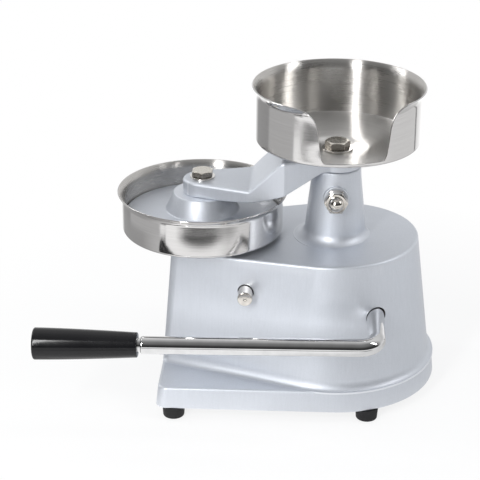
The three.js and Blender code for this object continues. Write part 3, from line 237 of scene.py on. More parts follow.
def noise(tree, vector, scale, detail=3, rough=0.5):
    node = tree.nodes.new("ShaderNodeTexNoise")
    node.inputs["Scale"].default_value = scale
    node.inputs["Detail"].default_value = detail
    node.inputs["Roughness"].default_value = rough
    tree.links.new(vector, node.inputs["Vector"])
    return node.outputs["Fac"]


def spread(tree, value, low, high, source_low=0.3, source_high=0.7):
    """Maps a range of the value, at first that of noise, to low..high and holds it outside."""
    node = tree.nodes.new("ShaderNodeMapRange")
    node.inputs["From Min"].default_value = source_low
    node.inputs["From Max"].default_value = source_high
    node.inputs["To Min"].default_value = low
    node.inputs["To Max"].default_value = high
    tree.links.new(value, node.inputs["Value"])
    return node.outputs["Result"]


def blend_colours(tree, factor, first, second):
    node = tree.nodes.new("ShaderNodeMix")
    node.data_type = "RGBA"
    tree.links.new(factor, node.inputs["Factor"])
    for socket, colour in (("A", first), ("B", second)):
        target = [s for s in node.inputs if s.name == socket and s.type == "RGBA"][0]
        if isinstance(colour, tuple):
            target.default_value = (*colour, 1)
        else:
            tree.links.new(colour, target)
    return [s for s in node.outputs if s.type == "RGBA"][0]


def math_node(tree, how, *values):
    node = tree.nodes.new("ShaderNodeMath")
    node.operation = how
    for i, value in enumerate(values):
        if isinstance(value, (int, float)):
            node.inputs[i].default_value = value
        else:
            tree.links.new(value, node.inputs[i])
    return node.outputs[0]


def weighed(tree, *parts):
    """The sum of values, each times its share."""
    total = None
    for value, share in parts:
        part = math_node(tree, "MULTIPLY", value, share)
        total = part if total is None else math_node(tree, "ADD", total, part)
    return total


def mixed(tree, factor, first, second):
    """The first value where the factor is 0 and the second where it is 1."""
    step = math_node(tree, "SUBTRACT", second, first)
    return math_node(tree, "ADD", first, math_node(tree, "MULTIPLY", factor, step))


def sum_of_squares(tree, first, second):
    return math_node(tree, "ADD", math_node(tree, "MULTIPLY", first, first),
                     math_node(tree, "MULTIPLY", second, second))


def bump(tree, shader, height, strength, distance):
    node = tree.nodes.new("ShaderNodeBump")
    node.inputs["Strength"].default_value = strength
    node.inputs["Distance"].default_value = distance
    tree.links.new(height, node.inputs["Height"])
    tree.links.new(node.outputs["Normal"], shader.inputs["Normal"])


def edge_highlight_mask(tree, low, high):
    """A mask along sharp outer edges, where a painted highlight goes."""
    geometry = tree.nodes.new("ShaderNodeNewGeometry")
    return spread(tree, geometry.outputs["Pointiness"], 0, 1, low, high)


def fill_shader(tree, shader, colour, rough, **settings):
    """Ties the colour and the roughness to the shader and sets its other inputs."""
    tree.links.new(colour, shader.inputs["Base Color"])
    tree.links.new(rough, shader.inputs["Roughness"])
    for name, value in settings.items():
        shader.inputs[name.replace("_", " ")].default_value = value


# ---------------------------------------------------------------- materials

# Metres above the table between which the casting's edges get no painted highlight
EDGE_LIGHT_STOPS = (0.0284, 0.0292)
EDGE_LIGHT_STARTS = (0.120, 0.126)


def silver_paint():
    material, tree, shader, coords = new_material("silver_paint")
    grain = noise(tree, coords, 1900, 2, 0.6)
    clouds = noise(tree, coords, 28)
    streaks = noise(tree, scaled(tree, coords, (620, 620, 26)), 1, 3, 0.6)
    mix = weighed(tree, (grain, 0.5), (clouds, 0.25), (streaks, 0.25))
    body = blend_colours(tree, spread(tree, mix, 0, 1, 0.36, 0.64),
                         (0.61, 0.64, 0.69), (0.69, 0.72, 0.775))
    # The flange's and the top's sharp edges turn lighter: a painted highlight.
    height = split_xyz(tree, coords)["Z"]
    off_walls = math_node(tree, "ADD", spread(tree, height, 1, 0, *EDGE_LIGHT_STOPS),
                          spread(tree, height, 0, 1, *EDGE_LIGHT_STARTS))
    edge_glint = math_node(tree, "MULTIPLY", edge_highlight_mask(tree, 0.515, 0.57), 0.7)
    edges = math_node(tree, "MULTIPLY", edge_glint, off_walls)
    fill_shader(tree, shader, blend_colours(tree, edges, body, (0.86, 0.88, 0.92)),
                spread(tree, mix, 0.48, 0.56, 0.36, 0.64),
                Metallic=0.85, Coat_Weight=0.22, Coat_Roughness=0.16)
    bump(tree, shader, weighed(tree, (grain, 1), (streaks, 0.6)), 0.10, 0.00025)
    return material


def stainless(name, tone, rough, ring_depth, anisotropy):
    """Spun sheet: fine rings round the bowl's axis, hairlines and clouding."""
    material, tree, shader, coords = new_material(name)
    rings = noise(tree, scaled(tree, coords, (14, 14, 2600)), 1, 3, 0.65)
    hairs = noise(tree, scaled(tree, coords, (60, 60, 5200)), 1, 2, 0.6)
    clouds = noise(tree, coords, 34)
    fine = weighed(tree, (rings, 0.6), (hairs, 0.4))
    dark = tuple(0.90 * c for c in tone)
    cloudy = weighed(tree, (fine, 0.6), (clouds, 0.4))
    colour = blend_colours(tree, spread(tree, fine, 0, 1, 0.35, 0.65), dark, tone)
    fill_shader(tree, shader, colour, spread(tree, cloudy, *rough, 0.38, 0.62),
                Metallic=1, Anisotropic=anisotropy, Anisotropic_Rotation=0.25)
    tangent = tree.nodes.new("ShaderNodeTangent")
    tangent.direction_type = "RADIAL"
    tangent.axis = "Z"
    tree.links.new(tangent.outputs["Tangent"], shader.inputs["Tangent"])
    bump(tree, shader, fine, ring_depth, 0.00012)
    return material


def metal(name, dark, light, rough, scale, scratches, top=None):
    """Machined or plated metal: cloudy tone, small scratches, a painted highlight along sharp edges
    and, given a top colour, one on faces that look up.
    """
    material, tree, shader, coords = new_material(name)
    clouds = noise(tree, coords, scale)
    grain = noise(tree, coords, scale * 9, 2, 0.6)
    body = blend_colours(tree, spread(tree, clouds, 0, 1), dark, light)
    # Sharp edges turn lighter: a painted highlight.
    edge_glint = math_node(tree, "MULTIPLY", edge_highlight_mask(tree, 0.53, 0.62), 0.4)
    colour = blend_colours(tree, edge_glint, body, tuple(min(1, c * 1.35) for c in light))
    # Faces that look up take the top colour: a painted highlight.
    if top:
        normal = tree.nodes.new("ShaderNodeNewGeometry").outputs["Normal"]
        top_highlight_share = spread(tree, split_xyz(tree, normal)["Z"], 0, 1, 0.6, 0.9)
        colour = blend_colours(tree, top_highlight_share, colour, top)
    fill_shader(tree, shader, colour, spread(tree, clouds, *rough), Metallic=1)
    bump(tree, shader, grain, scratches, 0.0001)
    return material


def plastic(name, colour, dusty, rough, scale, strength, distance):
    material, tree, shader, coords = new_material(name)
    fine = noise(tree, coords, scale, 4, 0.6)
    smudge = noise(tree, coords, 45)
    dust = math_node(tree, "MULTIPLY", spread(tree, smudge, 0, 1), 0.5)
    fill_shader(tree, shader, blend_colours(tree, dust, colour, dusty),
                spread(tree, smudge, *rough), Specular_IOR_Level=0.30)
    bump(tree, shader, fine, strength, distance)
    return material


PAINT = silver_paint()
BOWL_OUTSIDE = stainless("stainless_outside", tone=(0.66, 0.65, 0.645), rough=(0.07, 0.11),
                         ring_depth=0.10, anisotropy=0.35)
BOWL_INSIDE = stainless("stainless_inside", tone=(0.66, 0.645, 0.625), rough=(0.25, 0.32),
                        ring_depth=0.22, anisotropy=1.0)
# The bowls' floors: the lighter tone is a painted highlight on faces that look up; the roughness
# and rings are the floor's own finish.
LIT_BOWL_FLOOR = stainless("stainless_floor_lit", tone=(0.84, 0.83, 0.815), rough=(0.32, 0.40),
                       ring_depth=0.16, anisotropy=0.75)
CHROME = metal("chrome_plate", dark=(0.62, 0.62, 0.625), light=(0.68, 0.68, 0.685),
               rough=(0.012, 0.03), scale=120, scratches=0.008)
# Its top colour is a painted highlight on faces that look up.
NICKEL = metal("nickel_plate", dark=(0.33, 0.305, 0.27), light=(0.42, 0.39, 0.35),
               rough=(0.22, 0.32), scale=260, scratches=0.08, top=(0.74, 0.71, 0.65))
BRIGHT_NICKEL = metal("bright_nickel", dark=(0.60, 0.57, 0.53), light=(0.70, 0.67, 0.63),
                      rough=(0.10, 0.18), scale=260, scratches=0.04)
STEEL = metal("machined_steel", dark=(0.40, 0.41, 0.43), light=(0.50, 0.51, 0.53),
              rough=(0.26, 0.38), scale=220, scratches=0.10)
# Its top colour is a painted highlight on faces that look up.
WASHER = metal("washer_plate", dark=(0.55, 0.53, 0.50), light=(0.65, 0.63, 0.60),
               rough=(0.12, 0.20), scale=260, scratches=0.04, top=(0.93, 0.92, 0.90))
BRONZE = metal("sintered_bronze", dark=(0.26, 0.22, 0.17), light=(0.32, 0.27, 0.21),
               rough=(0.34, 0.46), scale=240, scratches=0.10)
GRIP = plastic("grip_plastic", (0.0065, 0.0065, 0.0075), dusty=(0.011, 0.011, 0.012),
               rough=(0.12, 0.17), scale=700, strength=0.05, distance=0.0002)
RUBBER = plastic("foot_rubber", (0.011, 0.011, 0.012), dusty=(0.024, 0.024, 0.024),
                 rough=(0.62, 0.78), scale=1600, strength=0.3, distance=0.0003)
BOWL_SIDES = [BOWL_OUTSIDE, BOWL_INSIDE, LIT_BOWL_FLOOR]

SLOT_MATERIALS = {
    "silver_paint": PAINT, "stainless_sheet": BOWL_INSIDE, "chromed_bar": CHROME,
    "nickel_fastener": NICKEL, "plain_steel": STEEL, "bronze_bush": BRONZE,
    "black_grip": GRIP, "black_rubber": RUBBER,
}


# ---------------------------------------------------------------- housing

# Plan outlines: radius round the column, taper of the long sides in degrees, reach to the left
FLANGE_FOOT = (86.5, -0.55, 141.5)
FLANGE_HEAD = (84.9, -0.55, 139.9)
BODY_FOOT = (80.7, 19.2, 139.4)
BODY_HEAD = (68.7, 14.2, 132.5)
FLANGE_CORNER = 8.0
BODY_CORNER = 9.0
SMALLEST_BEND = 0.2

FLANGE_BOTTOM = 10.0
FLANGE_TOP = 28.0
FLANGE_LOW_EDGE = 1.2
FLANGE_EDGE = 2.2
BODY_TOP = 130.4
BODY_FALL = 0.029
BODY_EDGE = 2.4
SKIRT_REACH = 5.2
SKIRT_HEIGHT = 9.0
SKIRT_LEFT_END = -139.7
WALL = 5.0
FLOOR_LOW = 5.0
TRAY_ROOF = 5.5

COLUMN_RADIUS = 24.7
COLUMN_FLARE = 9.4
COLUMN_FLARE_RISE = 8.9
COLUMN_TAPER = [(22.9, 158), (21.5, 170), (20.3, 181)]
COLUMN_TOP = 190.5
COLUMN_EDGE = 1.5
GUIDE_HEIGHT = 169.5
GUIDE_PAD_RADIUS = 10.4
GUIDE_PAD_REACH = 22.0
GUIDE_PAD_EDGE = 0.8
BOWL_SEAT_RADIUS = 32
BOWL_SEAT_TOP = 133.2
BOWL_SEAT_INSET = 4.2

# Radii of the housing's bores, and the places of the two in the front wall
LEVER_HOLE = 7.7
LEVER_HEIGHT = 87.5
LEVER_HOLE_AT = (34.0, 0, LEVER_HEIGHT)
LIFT_HOLE = 6.6
LIFT_AT = (-70.6, 0, 100)
SHAFT_BORE = 15
LIFTER_BORE = 8.6


def body_top_at(x):
    return BODY_TOP + BODY_FALL * x


def plan_outline(plan, corner, inset):
    """A round end about the column, two tapered sides and two rounded corners."""
    radius, taper, reach = plan
    lean = math.radians(taper)
    rounded = radius - inset
    bend = max(corner - inset, SMALLEST_BEND)
    corner_x = bend + inset - reach
    corner_y = (rounded - bend + math.sin(lean) * corner_x) / math.cos(lean)
    return (arc(0, 0, rounded, -90 - taper, 90 + taper, 72)
            + arc(corner_x, corner_y, bend, 90 + taper, 180, 10)
            + arc(corner_x, -corner_y, bend, 180, 270 - taper, 10))


def body_foot(inset):
    return plan_outline(BODY_FOOT, BODY_CORNER, inset)


def body_head(inset):
    return plan_outline(BODY_HEAD, BODY_CORNER, inset)


def level(outline, height):
    """Lifts an outline to a height, or to a height that depends on x."""
    return [(x, y, height(x) if callable(height) else height) for x, y in outline]


def skirt(inset, height):
    """The body's foot, clipped at its left end so that its fillet stays on the flange."""
    return [(max(x, SKIRT_LEFT_END), y, height) for x, y in body_foot(inset)]


def build_housing():
    rings = [level(plan_outline(FLANGE_FOOT, FLANGE_CORNER, FLANGE_LOW_EDGE * (1 - s)),
                   FLANGE_BOTTOM + FLANGE_LOW_EDGE * (1 - c)) for s, c in quarter(3)]
    rings += [level(plan_outline(FLANGE_HEAD, FLANGE_CORNER, FLANGE_EDGE * (1 - c)),
                    FLANGE_TOP - FLANGE_EDGE * (1 - s)) for s, c in quarter(8)]
    casting = skin("housing_casting", rings)

    rings = [skirt(-SKIRT_REACH, FLANGE_TOP - 1.5)]
    rings += [skirt(-SKIRT_REACH * (1 - s), FLANGE_TOP + 0.02 + SKIRT_HEIGHT * (1 - c))
              for s, c in quarter(10)]
    rings += [level(body_head(BODY_EDGE * (1 - c)),
                    lambda x, drop=BODY_EDGE * (1 - s): body_top_at(x) - drop)
              for s, c in quarter(10)]
    combine(casting, skin("body_skin", rings), "UNION")

    foot = COLUMN_RADIUS + COLUMN_FLARE
    flare = arc(foot, BODY_TOP + COLUMN_FLARE_RISE, COLUMN_FLARE, 270, 182, 12)
    edge = arc(18.3, COLUMN_TOP - COLUMN_EDGE, COLUMN_EDGE, 0, 90, 5)
    column = turned("column_skin", [(0, 120), (foot, 120)] + flare + COLUMN_TAPER + edge
                    + [(0, COLUMN_TOP)])
    combine(casting, column, "UNION")
    edge = arc(GUIDE_PAD_RADIUS - GUIDE_PAD_EDGE, GUIDE_PAD_REACH - GUIDE_PAD_EDGE,
               GUIDE_PAD_EDGE, 0, 90, 4)
    pad = turned("guide_pad", [(0, 5), (GUIDE_PAD_RADIUS, 5)] + edge + [(0, GUIDE_PAD_REACH)],
                 64, (0, 0, GUIDE_HEIGHT), "-Y")
    combine(casting, pad, "UNION")
    circle = arc(BOWL_X, 0, BOWL_SEAT_RADIUS, 0, 360, 71)[:-1]
    seat = prism("bowl_seat", circle, 118, BOWL_SEAT_TOP)
    limit = prism("seat_limit", body_head(BOWL_SEAT_INSET), 110, 140)
    combine(seat, limit, "INTERSECT")
    combine(casting, seat, "UNION")

    hollow = skin("hollow", [level(body_foot(WALL), FLOOR_LOW), level(body_foot(WALL), FLANGE_TOP),
                             level(body_head(WALL), lambda x: body_top_at(x) - WALL)])
    combine(casting, hollow, "DIFFERENCE")
    inner = plan_outline(FLANGE_HEAD, FLANGE_CORNER, WALL)
    combine(casting, prism("tray", inner, FLOOR_LOW, FLANGE_TOP - TRAY_ROOF), "DIFFERENCE")
    for radius, inside, at in ((LEVER_HOLE, 40, LEVER_HOLE_AT), (LIFT_HOLE, 38, LIFT_AT)):
        combine(casting, rod("hole", radius, inside, 90, 64, at, "-Y"), "DIFFERENCE")
    combine(casting, rod("bore", SHAFT_BORE, 90, 195, 64), "DIFFERENCE")
    combine(casting, rod("lift_bore", LIFTER_BORE, 100, 140, at=ON_BOWL), "DIFFERENCE")
    piece(casting, "base", PAINT, ["housing"], 38, True)


FEET_AT = {
    "front_left": (-127.3, -79.4, 0), "front_right": (29.5, -74, 0),
    "rear_left": (-128, 78, 0), "rear_right": (28.9, 74, 0),
}
FOOT_BORE = 4.1
FOOT_TOP = 9.9


def build_feet():
    """Rubber feet with a bore for the screw and a bulge under the flange."""
    profile = [(FOOT_BORE, 4.6), (FOOT_BORE, 0.6), (FOOT_BORE + 0.6, 0.02)]
    profile += arc(7.2, 1.5, 1.48, 270, 355, 6)
    profile += [(9.0, 6.0), (9.3, 9.2), (9.0, FOOT_TOP), (FOOT_BORE, FOOT_TOP)]
    for name, at in FEET_AT.items():
        foot = turned("rubber_foot_" + name + "_skin", profile, 64, at, closed=True)
        piece(foot, "base", RUBBER, ["rubber_foot_" + name])


# ---------------------------------------------------------------- bowls

# The radius is the one of the wall's middle.
SHEET = 1.0
BOWL_RADIUS = 65.5
LIP_REACH = 3.6
LIP_CURVE = 2.2
LIP_STEPS = 12
CORNER_STEPS = 10


def sheet_profile(line):
    """Closes a line of (radius, height) into a sheet with a round outer edge."""
    left, right = [], []
    for i, (r, z) in enumerate(line):
        r0, z0 = line[max(i - 1, 0)]
        r1, z1 = line[min(i + 1, len(line) - 1)]
        size = math.hypot(r1 - r0, z1 - z0)
        nr, nz = (z1 - z0) / size * SHEET / 2, (r0 - r1) / size * SHEET / 2
        left.append((r + nr, z + nz))
        right.append((r - nr, z - nz))
    (r0, z0), (r1, z1) = line[-2], line[-1]
    size = math.hypot(r1 - r0, z1 - z0)
    out = ((r1 - r0) / size * SHEET / 2, (z1 - z0) / size * SHEET / 2)
    far = left[-1]
    nose = [(r1 + (far[0] - r1) * math.cos(a) + out[0] * math.sin(a),
             z1 + (far[1] - z1) * math.cos(a) + out[1] * math.sin(a))
            for a in (math.radians(v) for v in (30, 60, 90, 120, 150))]
    return left + nose + right[::-1]


def bowl_line(bottom, rim, corner, lip_height):
    """The middle of a bowl's wall, from its lower corner to its rolled lip."""
    line = arc(BOWL_RADIUS - corner, bottom + SHEET / 2 + corner, corner, 270, 360, CORNER_STEPS)
    line += [(BOWL_RADIUS, rim - lip_height - 6), (BOWL_RADIUS, rim - lip_height - 1.5)]
    for i in range(1, LIP_STEPS + 1):
        s = i / LIP_STEPS
        line.append((BOWL_RADIUS + LIP_REACH * s ** LIP_CURVE,
                     rim - SHEET / 2 - lip_height * (1 - s)))
    return line


def split_sides(obj, centre_x, floor_below):
    """The inside material where a face looks at the bowl's axis, the floor's where it looks up."""
    outside, inside, floor = range(3)
    cx = AXIS_X + centre_x * MM
    for polygon in obj.data.polygons:
        c, n = polygon.center, polygon.normal
        x, y = c.x - cx, c.y - AXIS_Y
        inward = -(n.x * x + n.y * y) / max(math.hypot(x, y), TINY)
        if n.z > 0.5 and c.z < floor_below * MM:
            polygon.material_index = floor
        else:
            polygon.material_index = inside if inward > 0.15 else outside


def build_forming_bowl():
    bottom, rim = 133.3, 166.6
    floor = bottom + SHEET / 2
    line = [(6.4, floor), (30, floor), (52, floor)] + bowl_line(bottom, rim, 2.0, 6)
    bowl = turned("forming_bowl_sheet", sheet_profile(line), 128, ON_BOWL, closed=True)
    piece(bowl, "base", BOWL_SIDES, ["forming_bowl"], 50)
    split_sides(bowl, BOWL_X, 150)
    low, high = 134.7, 138.0
    plate = turned("lifter_plate_skin", [(0, low), (57, low)]
                   + arc(60.2, low + 1.7, 1.7, 290, 360, 4)
                   + arc(61.2, high - 0.8, 0.8, 0, 90, 4) + [(0, high)], 128, ON_BOWL)
    piece(plate, "lifter", BOWL_INSIDE, ["lifter_plate"])


# The paper bowl's cut-out: angles in degrees, bearing 0 towards the front
CUT_BEARING = 11.4
CUT_HALF = 22.7
CUT_SPREAD = 4.7
CUT_CORNER = 17.0
CUT_CORNER_WIDTH = 17.0
CUT_FLARE = 0.8
CUT_FLARE_WIDTH = 16.0
CUT_FLARE_RISE = 16.0
CUT_FLARE_FADE = 1.8
CUT_COLUMN_SPACING = 1.4
SILL_BEND = 5.0
SILL_BEND_WIDTH = 1.6


def build_paper_bowl():
    bottom, rim, corner, lip_height = 213.0, 259.2, 1.2, 8.5
    sill = bottom + SHEET / 2 + corner + 1.4
    top = rim - SHEET / 2
    cup, cone_low, cone_high, cone_steps = 203.9, (24.4, 205.2), (44, 208.9), 8
    floor = [(5.4, cup), (14, cup), (22.6, cup)]
    for i in range(cone_steps + 1):
        floor.append(tuple(a + (b - a) * i / cone_steps for a, b in zip(cone_low, cone_high)))
    floor.append((54, 211.4))
    wall = bowl_line(bottom, rim, corner, lip_height)
    foot, lip = wall[:CORNER_STEPS + 1], wall[-LIP_STEPS:]
    wall_top = rim - lip_height - 1
    upright = [(BOWL_RADIUS, sill + (wall_top - sill) * i / 15) for i in range(16)]
    line = floor + foot + upright + lip
    sill_row = len(floor) + len(foot)

    def half_angle(height):
        """Half of the cut-out's angle: wider towards the lip, rounded above and below."""
        climb = min(max((height - sill) / (top - sill), 0), 1)
        above = max(height - (top - CUT_CORNER), 0)
        rounding = CUT_CORNER_WIDTH * (1 - math.sqrt(max(1 - (above / CUT_CORNER) ** 2, 0)))
        below = max(sill + SILL_BEND - height, 0)
        narrowing = SILL_BEND_WIDTH * (below / SILL_BEND) ** 2
        return math.radians(CUT_HALF + CUT_SPREAD * climb) + (rounding - narrowing) / BOWL_RADIUS

    # Columns of points across the cut-out, along each of its flared edges and round the back
    front, side, back = 24, 26, 96
    columns = front + 2 * side + back
    edge = CUT_FLARE_WIDTH / BOWL_RADIUS
    bearing = math.radians(CUT_BEARING - 90)
    points = []
    for row, (radius, height) in enumerate(line):
        half = half_angle(height)
        climb = min(max((height - sill) / CUT_FLARE_RISE, 0), 1)
        climb = climb * climb * (3 - 2 * climb)
        lip_share = (radius - BOWL_RADIUS) / LIP_REACH
        for j in range(columns):
            if j < front:
                angle, away = -half + 2 * half * j / front, 0.0
            elif j < front + side:
                away = edge * ((j - front) / side) ** CUT_COLUMN_SPACING
                angle = half + away
            elif j < front + side + back:
                s = (j - front - side) / back
                angle, away = half + edge + (2 * math.pi - 2 * half - 2 * edge) * s, edge
            else:
                away = edge * ((columns - j) / side) ** CUT_COLUMN_SPACING
                angle = -half - away
            near = 1 - away / edge
            flare = CUT_FLARE * near ** CUT_FLARE_FADE * climb * (1 - lip_share)
            reach = radius + (flare if row >= sill_row else 0)
            points.append((reach * math.cos(angle + bearing), reach * math.sin(angle + bearing),
                           height))
    faces = [face for face in band_faces(len(line), columns)
             if face[0] // columns < sill_row or face[0] % columns >= front]
    used = sorted({v for face in faces for v in face})
    number = {v: i for i, v in enumerate(used)}
    bowl = mesh_object("paper_bowl_sheet", [points[v] for v in used],
                       [tuple(number[v] for v in face) for face in faces])
    solid = bowl.modifiers.new("sheet", "SOLIDIFY")
    solid.thickness = SHEET * MM
    solid.offset = 0
    solid.use_even_offset = False
    apply_modifiers(bowl)
    bevel(bowl, 0.35, 2, 60)
    piece(bowl, "press", BOWL_SIDES, ["paper_bowl"], 50)
    split_sides(bowl, 0, 216)


# ---------------------------------------------------------------- press arm and disc

ARM_BOSS = 16.0
ARM_HUB = 19.7
ARM_LOW_EDGE = 1.2
ARM_TOP_EDGE = 2.6
STATION_GAP = 0.12
BOLT_BORE = 5.1


def rounded_line(points, radii, steps):
    """A polyline whose inner corners are replaced by curves of about the given radii."""
    out = [points[0]]
    for (x0, y0), (x1, y1), (x2, y2), radius in zip(points, points[1:], points[2:], radii):
        ax, ay, bx, by = x0 - x1, y0 - y1, x2 - x1, y2 - y1
        la, lb = math.hypot(ax, ay), math.hypot(bx, by)
        ax, ay, bx, by = ax / la, ay / la, bx / lb, by / lb
        half = math.acos(max(-1, min(1, ax * bx + ay * by))) / 2
        if half >= math.pi / 2 - 1e-4:
            out.append((x1, y1))
            continue
        back = min(radius / math.tan(half), la * 0.49, lb * 0.49)
        px, py, qx, qy = x1 + ax * back, y1 + ay * back, x1 + bx * back, y1 + by * back
        for i in range(steps + 1):
            t = i / steps
            u, v, w = (1 - t) ** 2, 2 * t * (1 - t), t * t
            out.append((u * px + v * x1 + w * qx, u * py + v * y1 + w * qy))
    out.append(points[-1])
    return out


def value_on(line, x):
    for (x0, y0), (x1, y1) in zip(line, line[1:]):
        if x <= x1:
            return y0 if x1 - x0 < 1e-9 else y0 + (y1 - y0) * (x - x0) / (x1 - x0)
    return line[-1][1]


def arm_side(corners, radii):
    """One side of the arm in plan, as y over x: boss, corners and hub."""
    start = math.degrees(math.asin((corners[0][1] - ARM_BOSS) / (corners[0][0] - BOWL_X)))
    end = math.degrees(math.asin((corners[-1][1] - ARM_HUB) / -corners[-1][0]))
    boss = arc(BOWL_X, 0, ARM_BOSS, 180, 90 + start, 24)
    hub = arc(0, 0, ARM_HUB, 90 + end, 0, 24)
    return boss[:-1] + rounded_line([boss[-1], *corners, hub[0]], radii, 10) + hub[1:]


def strip_faces(count, last):
    """Closes both ends of the arm with strips from its near side to its far side."""
    faces = []
    for i in range(count // 2):
        j, k, m = i + 1, (count - i) % count, count - i - 1
        if k == 0:
            strip = (i, j, m)
        elif j == m:
            strip = (i, j, k)
        elif j < m:
            strip = (i, j, m, k)
        else:
            continue
        faces.append(tuple(last + v for v in strip))
        faces.append((strip[0],) + strip[:0:-1])
    return faces


def build_arm():
    left, right = BOWL_X - ARM_BOSS, ARM_HUB
    near = arm_side([(-69.5, 29.8), (-41.7, 32.6)], (30, 2.6))
    far = arm_side([(-66, 28.6)], (24,))
    top_line = rounded_line([(left - 5, 177.5), (-69.5, 177.5), (-43.8, 203.3), (right + 5, 203.3)],
                            (5, 4), 6)
    low_line = rounded_line([(left - 5, 165.2), (-95, 165.2), (-69.5, 167.2), (-56, 169.8),
                             (-41.7, 174.4), (-12, 190.8), (right + 5, 190.8)],
                            (5, 30, 20, 8, 4), 4)
    stations = sorted({round(x, 4) for line in (near, far) for x, _ in line}
                      | {round(x, 4) for x, _ in top_line + low_line if left < x < right})
    kept = [stations[0]]
    for x in stations[1:]:
        if x - kept[-1] > STATION_GAP or x == stations[-1]:
            kept.append(x)
    loop = [(x, -value_on(near, x)) for x in kept]
    loop += [(x, value_on(far, x)) for x in reversed(kept[1:-1])]
    count = len(loop)
    normals = []
    for i in range(count):
        (x0, y0), (x1, y1) = loop[i - 1], loop[(i + 1) % count]
        size = math.hypot(x1 - x0, y1 - y0)
        normals.append(((y1 - y0) / size, -(x1 - x0) / size))

    def ring(inset, line, rise):
        return [(x - nx * inset, y - ny * inset, value_on(line, x) + rise)
                for (x, y), (nx, ny) in zip(loop, normals)]

    rings = [ring(ARM_LOW_EDGE * (1 - s), low_line, ARM_LOW_EDGE * (1 - c)) for s, c in quarter(3)]
    rings += [ring(ARM_TOP_EDGE * (1 - c), top_line, -ARM_TOP_EDGE * (1 - s))
              for s, c in quarter(7)]
    faces = band_faces(len(rings), count) + strip_faces(count, (len(rings) - 1) * count)
    arm = mesh_object("press_arm_casting", [p for r in rings for p in r], faces)
    room = turned("column_room", [(0, 150), (25, 150), (24.2, 165), (20.9, 190.8), (0, 190.8)])
    combine(arm, room, "DIFFERENCE")
    combine(arm, rod("arm_bore", 8.3, 180, 210), "DIFFERENCE")
    combine(arm, rod("bolt_bore", BOLT_BORE, 160, 182, at=ON_BOWL), "DIFFERENCE")
    piece(arm, "press", PAINT, ["press_arm"], 42, True)


def build_disc():
    """Revolved about the bolt: core, hub with its flared foot, sloping top and rounded rim."""
    hub, hub_top, core = 23.1, 165.1, 153
    profile = ([(0, core), (BOLT_BORE, core), (BOLT_BORE, hub_top), (hub, hub_top)]
               + arc(hub, hub_top - 1.0, 1.0, 90, 16, 5)
               + arc(31.2, 151.6, 1.6, 196, 268, 8) + [(45, 148.7)]
               + arc(63.2, 145.8, 1.0, 90, 0, 5) + arc(63.2, 144.5, 1.0, 0, -90, 5) + [(0, 143.5)])
    disc = turned("press_disc_casting", profile, 128, ON_BOWL)
    piece(disc, "press", PAINT, ["press_disc"], 34)


# ---------------------------------------------------------------- fasteners

BOLT_SHANK = 4.8
NUT_BORE = 4.9
NUT_FLATS = 17
CHAMFER_START = 0.6
CHAMFER_OVERRUN = 0.2


def hex_head(name, across_flats, low, high, turn=0, chamfer_low=False):
    """A hexagon whose corners are turned off at the top, and at the bottom where asked."""
    corner, flat = across_flats / math.sqrt(3), across_flats / 2
    head = prism(name, arc(0, 0, corner, turn, turn + 300, 5), low, high)
    rise = (corner - flat + CHAMFER_START) * math.tan(math.radians(30))
    inner, outer = flat - CHAMFER_START, corner + CHAMFER_OVERRUN
    bottom = [(0, low - 1), (inner, low - 1), (inner, low), (outer, low + rise)]
    plain = [(0, low - 1), (outer, low - 1)]
    cone = turned("chamfer", (bottom if chamfer_low else plain)
                  + [(outer, high - rise), (inner, high), (0, high)])
    combine(head, cone, "INTERSECT")
    bevel(head, 0.22, 2, 20)
    return head


def lay_on_column(obj):
    """Lays a piece, built upright on the column's axis, forward at the guide screw's height."""
    centre = Matrix.Translation((AXIS_X, AXIS_Y, 0))
    lay = Matrix.Rotation(math.radians(90), 4, "X")
    place = Matrix.Translation((AXIS_X, AXIS_Y, GUIDE_HEIGHT * MM))
    obj.data.transform(place @ lay @ centre.inverted())


def build_bolt(name, across_flats, head_span, turn, shank_span, at, node):
    head = hex_head(name, across_flats, *head_span, turn)
    combine(head, rod("shank", BOLT_SHANK, *shank_span, 40), "UNION")
    head.data.transform(Matrix.Translation(tuple(v * MM for v in at)))
    piece(head, "press", NICKEL, [node], 25, True)


def build_washer(name, radius, low, high, at, node):
    profile = [(BOLT_BORE, low), (radius, low)] + arc(radius - 0.3, high - 0.3, 0.3, 0, 90, 3)
    ring = turned(name, profile + [(BOLT_BORE, high)], 64, at, closed=True)
    piece(ring, "press", WASHER, [node])


def build_fasteners():
    build_bolt("disc_bolt_head", 16.4, (179.1, 183.9), 30, (154.7, 180), ON_BOWL, "disc_bolt")
    build_washer("disc_washer_ring", 10.2, 177.6, 179.0, ON_BOWL, "disc_washer")
    build_bolt("paper_bolt_head", 18, (206.4, 212.2), 0, (170.4, 208), ON_COLUMN,
               "paper_bowl_bolt")
    build_washer("paper_washer_ring", 12.6, 204.5, 206.3, ON_COLUMN, "paper_bowl_washer")
    nut = hex_head("jam_nut_body", NUT_FLATS, 22.9, 26.9, chamfer_low=True)
    combine(nut, rod("nut_bore", NUT_BORE, 20, 30, 40), "DIFFERENCE")
    lay_on_column(nut)
    piece(nut, "base", BRIGHT_NICKEL, ["guide_jam_nut"], 25, True)
    cap = hex_head("acorn_nut_body", NUT_FLATS, 27.1, 32.1, chamfer_low=True)
    dome = turned("dome", [(0, 30), (6.6, 30), (6.5, 32.4)] + arc(0, 32.2, 6.25, 2, 90, 16), 64)
    combine(cap, dome, "UNION")
    combine(cap, rod("nut_bore", NUT_BORE, 20, 34.4, 40), "DIFFERENCE")
    lay_on_column(cap)
    piece(cap, "base", BRIGHT_NICKEL, ["guide_acorn_nut"], 25, True)


